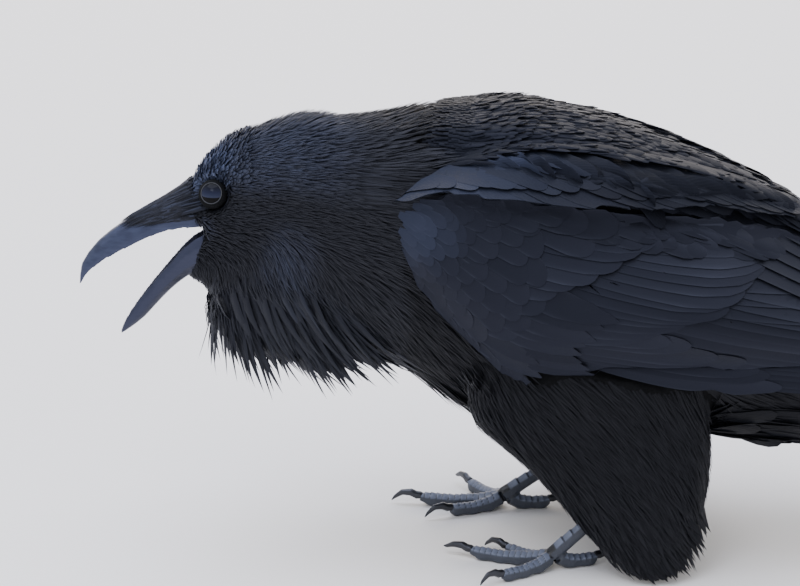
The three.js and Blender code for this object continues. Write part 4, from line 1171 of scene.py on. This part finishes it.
# %% [markdown]
# ## The folded wing
# From below: the long primaries that reach back over the tail, the secondaries over them,
# the primary coverts and the alula that end in points on the lower edge, and then the greater
# and median coverts. Rows are given from their lowest feather up: where the roots lie, where
# the tips end, widths, and how far the tips stand over the solid's own surface.

# %% The primaries
# how many, then from the lowest feather up: roots, tips, widths, lifts of the tips, bows
PRIMARIES = (
    9,
    ((-64, 109), (-52, 114), (-36, 121)),
    ((258, 51), (275, 53), (277, 56), (262, 62), (240, 71), (216, 81), (192, 90), (170, 98), (150, 103)),
    (19, 21, 23, 25, 26),
    (-0.8, 0.0, 0.4),
    (-0.014, -0.012, 0.0),
)
OUTER_HAND = (  # shorter ones that lie on their roots
    4,
    ((-62, 116), (-62, 126)),
    ((45, 98), (40, 103), (35, 108), (30, 113)),
    (10, 11),
    (0.5, 0.5),
    (0.05, 0.045),
)
print("primaries", PRIMARIES[0], "and", OUTER_HAND[0], "over their roots")

# %% Rows of the arm
# template, bow, how many, then from the lowest feather up: roots, tips, widths, lifts
SECONDARIES = (
    (LONG_VANE, 0.04, 4,
     ((-50, 156), (-22, 166)),
     ((103, 137), (97, 143), (87, 150), (72, 158)), (20, 22), (-1.2, -1.1)),
    (LONG_VANE, 0.045, 12,
     ((-98, 126), (-80, 137), (-60, 148), (-40, 155), (-18, 162)),
     ((42, 99), (68, 102), (98, 106), (128, 108), (146, 113), (138, 121), (116, 131), (92, 142)),
     (24, 26, 28, 26), (-1.3, -0.9)),
    (LONG_VANE, 0.05, 4,
     ((-80, 126), (-80, 137)),
     ((27, 113), (15, 118), (2, 123), (-10, 128)), (11, 12), (-0.5, -0.4)),
)
GREATER_COVERTS = (
    (LONG_VANE, 0.05, 13,
     ((-114, 141), (-96, 152), (-78, 163), (-60, 170), (-46, 176)),
     ((-24, 132), (-2, 138), (13, 143), (22, 148), (32, 155), (41, 163), (46, 170)),
     (17, 19, 20, 18), (-0.1, 0.0)),
)
PRIMARY_COVERTS = (  # and the alula
    (POINTED_VANE, 0.08, 8,
     ((-127, 141), (-122, 148), (-115, 156), (-106, 164)),
     ((-43.5, 107), (-52, 114), (-55, 121), (-51, 128), (-44, 134), (-36, 140)),
     (12, 13, 14, 15), (0.9, 0.6)),
    (POINTED_VANE, 0.05, 3,
     ((-134, 141), (-130, 148)),
     ((-78, 102.5), (-72, 108), (-74, 116)), (11, 12, 12), (1.3, 1.2)),
)
MEDIAN_COVERTS = (
    (ROUND_VANE, 0.06, 9,
     ((-128, 147), (-116, 160), (-104, 172), (-88, 183)),
     ((-84, 132), (-74, 145), (-62, 158), (-46, 163), (-30, 170), (-14, 179)),
     (16, 19, 19, 17), (0.7, 0.9)),
    (ROUND_VANE, 0.06, 5,
     ((-125, 197), (-110, 196), (-95, 193), (-92, 186)),
     ((-88, 190), (-68, 183), (-32, 186), (-45, 174)), (13, 15, 16, 15), (1.0, 1.0)),
)
ARM_ROWS = SECONDARIES + GREATER_COVERTS + PRIMARY_COVERTS + MEDIAN_COVERTS
print("arm", sum(arm_row[2] for arm_row in ARM_ROWS), "long feathers in", len(ARM_ROWS), "rows")

# %% [markdown]
# Over their roots lie the small coverts of the wrist. They are too many for rows, so their
# roots are scattered inwards from the wing's leading edge, tiny ones there and larger behind.

# %% Small coverts
LEADING_EDGE = ((-112, 199), (-132, 196), (-146, 188), (-145, 168), (-133, 149), (-112, 128), (-95, 115))
COVERT_BAND = (30, 42, 50, 38, 20, 8, 5)  # how far in from each point of the edge they reach
COVERT_TRIES = 2600
COVERT_CROWDING = 0.48  # a neighbour may come this near, as a share of the width
DROOP = ((105, 130, 150, 170, 185, 197), (42, 46, 46, 34, 20, 6))  # height, degrees down
WRIST = (-144, 184)


def small_coverts(surface):
    """Roots thrown beside the edge, kept where no kept one is closer than half a width."""
    stops = range(len(LEADING_EDGE))
    place = (len(LEADING_EDGE) - 1) * rng.random(COVERT_TRIES)
    tracks = (*zip(*LEADING_EDGE), COVERT_BAND)
    edge_x, edge_z, band = (np.interp(place, stops, track) for track in tracks)
    depth = band * rng.random(len(place)) + 1.5
    droop = np.radians(np.interp(edge_z, *DROOP))
    way = np.stack([np.cos(droop), -np.sin(droop)], axis=1)
    roots = np.stack([edge_x, edge_z], axis=1) + way * depth[:, None]
    wide = np.interp(depth, (0, 20, 50), (5, 9, 15))
    kept = []
    for i, root in enumerate(roots):
        away = np.linalg.norm(roots[kept] - root, axis=1)
        if not kept or away.min() > COVERT_CROWDING * wide[i]:
            kept.append(i)
    roots, way, depth, wide = roots[kept], way[kept], depth[kept], wide[kept]
    tips = roots + way * np.interp(depth, (0, 20, 50), (11, 19, 30))[:, None]
    # a painted sheen, with gloss, on the coverts round the wrist
    gloss = 0.35 * (1 - step(np.hypot(*(roots - WRIST).T), 4, 22))
    highs = np.interp(depth, (0, 8, 50), (0.3, 1.0, 0.9))
    crisp = np.interp(depth, (0, 15, 50), (0.15, 0.35, 0.9))
    lifts = (highs - 1.0, highs)
    return shingled(surface, ROUND_VANE, roots, tips, wide, lifts, -1, 0.05, gloss, 0.9, crisp=crisp)


# %% [markdown]
# The top of the wing is a ledge that no row reaches. Scale-like feathers as on the back close
# it. Six inner tertials on each side go on over the rump like a roof, so their plane is half
# turned up.

# %% Wing pieces
ROOF_SLOPE = math.radians(35)
INNER_TERTIALS = (
    6,
    ((-8, -55), (25, -88)),
    ((164, -30), (163, -37), (158, -46), (150, -55), (138, -66)),
    (19, 22),
    (0.6, 1.6),
)
WING_TOP = ((-60, 0, 30, 60, 90, 110), (192, 183, 176, 163, 146, 136))  # its upper edge, x and z
AHEAD, UP = np.array([1.0, 0, 0]), np.array([0, 0, 1.0])


def tree_of(*names):
    """The surface of some nodes, for rays."""
    return BVHTree.FromBMesh(node_copy(*names))


def turned_up(side, slope):
    """Of a plane beside the body that is turned up by a slope: the way down it, and out."""
    down = np.array([0, side * math.cos(slope), -math.sin(slope)])
    return down, np.array([0, side * math.sin(slope), math.cos(slope)])


for name, side in SIDES.items():
    out = np.array([0.0, side, 0.0])
    hand = relief(tree_of("primaries_" + name), AHEAD, UP, out, (-80, 290), (44, 135))
    roots, tips, widths, highs, bows = row(*PRIMARIES)
    lots = [shingled(hand, LONG_VANE, roots, tips, widths, (highs - 1.2, highs), -1, bows)]
    roots, tips, widths, highs, bows = row(*OUTER_HAND)
    lots.append(shingled(hand, LONG_VANE, roots, tips, widths, (highs - 0.6, highs), -1, bows, crisp=1.3))
    ride(joined("primary_feathers_" + name, lots, vane_keratin), "flight_feathers", "primaries_" + name)

    arm = relief(tree_of("wing_" + name), AHEAD, UP, out, (-155, 170), (90, 210))
    lots = []
    for template, bow, count, *tracks in ARM_ROWS:
        roots, tips, widths, highs = row(count, *tracks)
        lots.append(shingled(arm, template, roots, tips, widths, (highs - 1.8, highs), -1, bow, crisp=1.3))
    lots.append(small_coverts(arm))
    ledge = (x > -70) & (x < 20) & (z > np.interp(x, *WING_TOP) - 8)
    chosen = on_wing & (side_y * side > 0) & ledge
    lots.append(coat("wing top " + name, chosen, SCALE, 0.2, 0.03, 2.2, -0.6, (), ()))
    below = tree_of("wing_" + name, "primaries_" + name, "trunk", "tail")
    roof = relief(below, AHEAD, *turned_up(side, ROOF_SLOPE), (-20, 170), (-110, -20))
    roots, tips, widths, highs = row(*INNER_TERTIALS)
    lots.append(shingled(roof, LONG_VANE, roots, tips, widths, (highs - 1.5, highs), 1, 0.03, crisp=1.2))
    ride(joined("wing_feathers_" + name, lots, vane_keratin), "flight_feathers", "wing_" + name)

# %% [markdown]
# ## The scapulars
# Along the top of the wing lies a fold of shoulder feathers. Its free edge hangs over the
# coverts and throws the strongest shadow of the bird. Inner ones are scattered, and the
# long outer ones are two rows, at the edge and above it, on a relief seen from the side and
# above.

# %% Scapular feathers
FOLD_SLOPE = math.radians(28)  # how far the fold turns up from upright
# places along the fold, and y and z of its inner and its outer edge there
FOLD_X = (-143, -120, -105, -88, -60, -30, 0, 32, 57)
FOLD_INNER = ((56, 42.5, 38.5, 36, 33, 27, 19, 10, 4), (196, 209, 214, 216.5, 215.5, 210, 201.3, 189, 176.5))
FOLD_OUTER = ((60, 65, 68, 69, 67, 61, 48, 34, 18), (196, 204.5, 203.5, 200.5, 197, 193.5, 190, 183.5, 172.5))
# of each row: share of the way down, gap, length, width, lift of the tips, and its shift
FOLD_ROWS = ((1.0, 8.0, 54, 16, 0.2, 0), (0.76, 9.0, 46, 15, 0.7, 4))


def down_fold(edge):
    """An edge's y and z as one distance down the fold."""
    return np.array(edge[0]) * math.cos(FOLD_SLOPE) - np.array(edge[1]) * math.sin(FOLD_SLOPE)


def fold_row(fold, share, gap, reach, wide, high, shift):
    """One row of long scapulars, whose tips lie along the fold."""
    inner, outer = down_fold(FOLD_INNER), down_fold(FOLD_OUTER)
    tip_x = np.arange(-128, 57, gap) + shift
    tip_b = np.interp(tip_x, FOLD_X, inner + share * (outer - inner))
    longer = reach * np.interp(tip_x, (-130, -90, 30), (0.4, 1, 1.3))
    root_x = tip_x - 0.93 * longer
    root_b = tip_b - 0.36 * longer * np.interp(tip_x, (-130, -60, 40), (0.7, 1, 0.45))
    roots, tips = np.stack([root_x, root_b], axis=1), np.stack([tip_x, tip_b], axis=1)
    widths = wide * np.interp(tip_x, (-130, -90, 40), (0.6, 1, 1))
    lifts = [np.full(len(tip_x), lift) for lift in (high - 2.2, high)]
    # a painted sheen, with gloss, on the front of the fold
    gloss = 0.32 * (1 - step(tip_x, -110, -30))
    return shingled(fold, ROUND_VANE, roots, tips, widths, lifts, 1, 0.05, gloss, 1.4)


droop = 0.5 - 0.42 * step(x, -70, 0)
lie[on_scapular] = np.stack([one, droop * np.sign(side_y), -0.7 * droop], axis=1)[on_scapular]
for name, side in SIDES.items():
    surface = tree_of("scapulars_" + name)
    fold = relief(surface, AHEAD, *turned_up(side, FOLD_SLOPE), (-155, 75), (-95, -20))
    lots = [fold_row(fold, *settings) for settings in FOLD_ROWS]
    chosen = on_scapular & (side_y * side > 0) & (outward[:, 2] > 0.55) & (x < 45)
    lots.append(coat("scapulars " + name, chosen, SCALE, 0.15, 0.05, 2.9, -1.2, (), ()))
    ride(joined("scapular_feathers_" + name, lots, mantle_keratin), "flight_feathers", "scapulars_" + name)

# %% [markdown]
# ## The tail
# Twelve feathers fold into a wedge. The middle pair is longest and lies on top. Four rows of
# shorter coverts lie over their roots and go on up the rump.

# %% Tail feathers
TAIL_ROOT, TAIL_LENGTH = np.array([88.0, 0, 98]), 221
TAIL_SLOPE = math.radians(15.5)
TAIL_PAIRS, TAIL_WIDTH = 6, 27.0
COVERT_PAIRS, COVERT_WIDTH = 4, 17.0
RUMP_ROWS = ((28, 108, 0.9), (8, 84, 1.5), (-12, 60, 2.1), (-34, 36, 2.7))  # root, tip, lift
ACROSS = np.array([0, 1.0, 0])
TAIL_HALF = (-48, 48)  # how far to each side it is measured
down_tail = np.array([math.cos(TAIL_SLOPE), 0, -math.sin(TAIL_SLOPE)])
off_tail = np.array([math.sin(TAIL_SLOPE), 0, math.cos(TAIL_SLOPE)])
start = float(TAIL_ROOT @ down_tail)
fan = relief(tree_of("tail"), down_tail, ACROSS, off_tail, (start - 10, start + 230), TAIL_HALF)
share = (np.arange(TAIL_PAIRS)[::-1] + 0.5) / TAIL_PAIRS  # from the outermost, the lowest
lots = []
for side in SIDES.values():
    roots = np.stack([np.full(TAIL_PAIRS, start), side * 15 * share], axis=1)
    tips = np.stack([start + TAIL_LENGTH - 44 * share**1.4, side * 34 * share], axis=1)
    highs = 0.2 - 1.8 * share
    widths = np.full(TAIL_PAIRS, TAIL_WIDTH)
    lifts = (highs - 0.4, highs)
    lots.append(shingled(fan, LONG_VANE, roots, tips, widths, lifts, side, 0.0, lean=0.0))
print("tail", 2 * TAIL_PAIRS, "feathers")

# %% Rump coverts
surface = tree_of("tail", "trunk")
rump = relief(surface, down_tail, ACROSS, off_tail, (start - 50, start + 130), TAIL_HALF)
share = (np.arange(COVERT_PAIRS)[::-1] + 0.3) / COVERT_PAIRS
for root_a, tip_a, high in RUMP_ROWS:
    for side in SIDES.values():
        roots = np.stack([np.full(COVERT_PAIRS, start + root_a), side * 17 * share], axis=1)
        tips = np.stack([start + tip_a - 16 * share**1.5, side * 25 * share], axis=1)
        lifts = (high - 0.4 * share - 1.6, high - 0.4 * share)
        widths = np.full(COVERT_PAIRS, COVERT_WIDTH)
        lots.append(shingled(rump, ROUND_VANE, roots, tips, widths, lifts, side, lean=0.0))
ride(joined("tail_feathers", lots, vane_keratin), "flight_feathers", "tail")

# %% [markdown]
# ## The bill
# Two horn blades over bone. The CAD nodes have their exact outline in flat facets. A grown
# bill has none, so each is remeshed in cells of half a millimetre and smoothed.

# %% Bill and tongue
HORN_CELL = 0.5
UNDER_CHEEK = 5  # how far the horn goes on under the cheek's feathers
for name, material in (("bill_upper", bill_horn), ("bill_lower", lower_bill_horn_painted_shade)):
    shape = remeshed(node_copy(name), HORN_CELL, 8)
    back_end = max(vert.co.x for vert in shape.verts)
    for vert in shape.verts:
        if vert.co.x > back_end - 1.5:
            vert.co += Vector((UNDER_CHEEK, 0, 0))
            vert.co.y *= 0.86
    ride(piece(shape, name + "_horn", material), "horn", name)
tongue = remeshed(node_copy("tongue"), HORN_CELL, 4)
ride(piece(tongue, "tongue_skin", mouth_skin), "tongue_skin", "tongue")

# %% [markdown]
# ## Eyes and lids
# The eye is a wet ball, so dark that little more than the sky in it shows, and that sky is a painted
# reflection in its colour. A raven's bare lid is a thin ring round it, paler than the feathers, and from the
# lid to the feathers goes a band of dark bare skin. Each is the outline of a flat oval, laid on the ball and
# spun round the eye's own axis.

# %% Eyes
LID = (43.0, 46.3, 0.5)  # degrees off the gaze where the ring starts and ends, and its height
BARE_BAND = (46.0, 88.0, 0.42)
GAZE_OUT, GAZE_AHEAD = 40.0, 6  # it looks this far out from the middle, and ahead and up


def eye_ring(first, last, height, place):
    """A ring on the eye. Its profile is an oval from `first` to `last`, `height` over the ball."""
    shape = bmesh.new()
    bmesh.ops.create_circle(shape, segments=12, radius=1)
    for vert in shape.verts:
        off_gaze = math.radians((first + last) / 2 + vert.co.x * (last - first) / 2)
        reach = EYE_RADIUS + vert.co.y * height
        vert.co = (reach * math.sin(off_gaze), 0, reach * math.cos(off_gaze))
    outline = shape.verts[:] + shape.edges[:]
    axis, middle = (0, 0, 1), (0, 0, 0)
    bmesh.ops.spin(
        shape, geom=outline, axis=axis, cent=middle, angle=math.tau, steps=44, use_merge=True
    )
    bmesh.ops.remove_doubles(shape, verts=shape.verts, dist=0.001)
    bmesh.ops.transform(shape, matrix=place, verts=shape.verts)
    bmesh.ops.recalc_face_normals(shape, faces=shape.faces)
    return shape


for name, side in SIDES.items():
    eye = Vector(EYES[name])
    seat = Matrix.Translation(eye)
    shape = bmesh.new()
    bmesh.ops.create_uvsphere(shape, u_segments=48, v_segments=24, radius=EYE_RADIUS, matrix=seat)
    ride(piece(shape, "eyeball_" + name, eye_with_painted_sky), "eye", "eye_" + name)
    aim = leaned([[EYE_PLACE[0] - GAZE_AHEAD, side * GAZE_OUT, EYE_PLACE[2] + GAZE_AHEAD]])[0]
    gaze = Vector(aim) - eye
    place = seat @ gaze.normalized().to_track_quat("Z", "Y").to_matrix().to_4x4()
    ride(piece(eye_ring(*LID, place), "eyelid_" + name, lid_skin), "leg_scales")
    ride(piece(eye_ring(*BARE_BAND, place), "eye_band_" + name, down_skin), "leg_scales")

# %% [markdown]
# ## Legs, toes and claws
# A raven's tarsus has broad plates down its front and its toes have a row of them on top,
# each lapping over the next one, with pale worn edges. Below the toes bulge pads. The nodes
# of one foot become one skin first, so that no seam shows where the toes meet. Then every
# point finds the limb that it belongs to and how far along that limb it is, and from this
# comes the plate or pad that it stands on.

# %% Limbs of a foot
ANKLE_Z, TOE_Z, TARSUS_LENGTH = 8.5, 3.5, 64
TOE_LENGTHS = {"middle": 44, "inner": 30, "outer": 32, "hind": 23}
FEET = {  # foot's x and y, slope of the tarsus, how far the heel leans out, toe headings
    "left": (-66, -53, 42, 0, {"middle": -20, "inner": -39, "outer": 35, "hind": 198}),
    "right": (-89, 29, 31, 8, {"middle": 8, "inner": -21, "outer": 56, "hind": 174}),
}
TOE_PLATE, TARSUS_PLATE = 3.1, 5.8  # lengths of the plates
PLATE_RISE, PAD_RISE, PAD_LENGTH = 0.5, 0.55, 9.5


def limbs_of(name):
    """Each limb's start, direction, length and plate length: the tarsus, and then the toes."""
    foot_x, foot_y, pitch, heel_out, headings = FEET[name]
    side, slope = SIDES[name], math.radians(pitch)
    up_leg = np.array([math.cos(slope), side * heel_out / TARSUS_LENGTH, math.sin(slope)])
    ankle = np.array([foot_x, foot_y, ANKLE_Z])
    limbs = {"tarsus": (ankle + up_leg * 3, unit(up_leg), TARSUS_LENGTH, TARSUS_PLATE)}
    for toe, heading in headings.items():
        turn = math.radians(heading)
        way = np.array([-math.cos(turn), side * math.sin(turn), 0])
        limbs[toe] = (np.array([foot_x, foot_y, TOE_Z]) + way * 4, way, TOE_LENGTHS[toe], TOE_PLATE)
    return limbs


# %% Plates and pads
def scaled(mesh, limbs):
    """Raises plates and pads on a foot's mesh, and keeps how worn and how lit each point is: the plates' tops
    lighter as painted light, their grooves dark as painted shade, their ends paler with wear.
    """
    count = len(mesh.vertices)
    points, normals = np.zeros((count, 3)), np.zeros((count, 3))
    mesh.vertices.foreach_get("co", points.ravel())
    mesh.vertices.foreach_get("normal", normals.ravel())
    points /= MM
    along = np.stack([np.clip((points - start) @ way, 0, reach) for start, way, reach, _ in limbs])
    nearest_on = [start + way * run[:, None] for (start, way, _, _), run in zip(limbs, along)]
    limb = np.argmin([np.linalg.norm(points - place, axis=1) for place in nearest_on], axis=0)
    travelled = along[limb, np.arange(count)]
    plate_length = np.array([plate for _, _, _, plate in limbs])[limb]
    tops = np.array([unit(UP - way * way[2]) for _, way, _, _ in limbs])
    facing = np.sum(normals * tops[limb], axis=1)
    phase = (travelled / plate_length) % 1.0
    top = step(facing, 0.1, 0.45)
    lower = step(-facing, -0.3, 0.5) * (limb > 0)  # the tarsus has no pads
    plates = PLATE_RISE * top * phase**1.5
    pads = PAD_RISE * lower * np.sin(math.pi * travelled / PAD_LENGTH) ** 2
    points += normals * (plates + pads - 0.1)[:, None]
    points[:, 2] = np.maximum(points[:, 2], 0.05)
    fill(mesh.vertices, "co", points * MM)
    # grooves between plates darkened as painted shade, tops lightened as painted light, plate ends paler with
    # wear
    groove = step(np.abs(phase - 0.5), 0.41, 0.5)
    wear_and_painted_light = 0.4 + top * (0.38 + 0.22 * phase - 0.8 * groove)
    fill(mesh.attributes.new("wear_and_painted_light", "FLOAT", "POINT").data, "value", wear_and_painted_light)
    mesh.update()


# %% Feet and claws
FOOT_CELL, CLAW_CELL = 0.55, 0.35
CLAW_ROOT, CLAW_SINK = 1.2, 1.6  # how far past its toe a claw is bare, and how deep it goes in
for name in SIDES:
    foot_x, foot_y = FEET[name][:2]
    nodes = ["shank_" + name, *("toe_" + toe + "_" + name for toe in TOE_LENGTHS)]
    foot = piece(remeshed(node_copy(*nodes), FOOT_CELL, 6), "foot_" + name, leg_scale)
    limbs = limbs_of(name)
    scaled(foot.data, list(limbs.values()))
    ride(foot, "leg_scales", *nodes)
    for toe, length_of_toe in TOE_LENGTHS.items():
        way, node = limbs[toe][1], "claw_" + toe + "_" + name
        shape = remeshed(node_copy(node), CLAW_CELL, 8)
        for vert in shape.verts:
            reach = (vert.co.x - foot_x) * way[0] + (vert.co.y - foot_y) * way[1]
            if reach < length_of_toe + CLAW_ROOT:
                vert.co -= Vector(way) * CLAW_SINK
        ride(piece(shape, node + "_horn", claw_horn), "horn", node)

# %% [markdown]
# ## Floor, light and camera
# Black feathers show their form only by what they mirror. Large soft lights give them broad
# gentle highlights: a cool one overhead for the sky, a warm one behind, and a weak one in
# front. The floor is plain and pale. The camera has a long lens and stands 4 m away, so that
# near and far parts keep their sizes. It looks down a little on the bird's left side.

# %% The stage
FLOOR_HALF = 6000
floor_shape = bmesh.new()
bmesh.ops.create_grid(floor_shape, x_segments=1, y_segments=1, size=FLOOR_HALF)
floor_material = new_material(
    "pale studio floor", Base_Color=linear("#f2efea"), Roughness=0.85, Specular_IOR_Level=0.2
)[0]
floor = piece(floor_shape, "floor", floor_material)

world = bpy.data.worlds.new("studio")
bpy.context.scene.world = world
world.use_nodes = True
background = world.node_tree.nodes["Background"]
background.inputs["Color"].default_value = linear("#e6e9f2")
background.inputs["Strength"].default_value = 1.5


def softbox(name, place, aim, size, power, colour):
    """A rectangle of light, in metres and watts."""
    data = bpy.data.lights.new(name, "AREA")
    data.shape = "RECTANGLE"
    data.size, data.size_y = size
    data.energy = power
    data.color = linear(colour)[:3]
    made = bpy.data.objects.new(name, data)
    made.location = place
    made.rotation_euler = (Vector(aim) - Vector(place)).to_track_quat("-Z", "Y").to_euler()
    bpy.context.scene.collection.objects.link(made)


softbox("sky", (-0.3, 0.3, 2.2), (-0.1, 0, 0.1), (2.6, 2.0), 66, "#dfe6ff")
softbox("back glow", (-0.2, 2.4, 1.0), (-0.1, 0, 0.1), (2.4, 1.2), 36, "#fff1e0")
softbox("front fill", (-0.8, -1.7, 2.3), (-0.1, 0, 0.12), (1.1, 0.7), 15, "#e6ebff")
print("lights", [light.name for light in bpy.data.lights])

# %% The camera
CAMERA_RISE = math.radians(20)
CAMERA_FAR = 4.0
AIM = Vector((-0.1425, 0, 0.1272))
lens = bpy.data.cameras.new("camera")
lens.lens = 360
lens.sensor_width = 36
lens.clip_end = 100
camera = bpy.data.objects.new("camera", lens)
camera.location = AIM + Vector((0, -math.cos(CAMERA_RISE), math.sin(CAMERA_RISE))) * CAMERA_FAR
camera.rotation_euler = (math.radians(90) - CAMERA_RISE, 0, 0)
bpy.context.scene.collection.objects.link(camera)
bpy.context.scene.camera = camera
print("camera at", [round(v, 3) for v in camera.location])
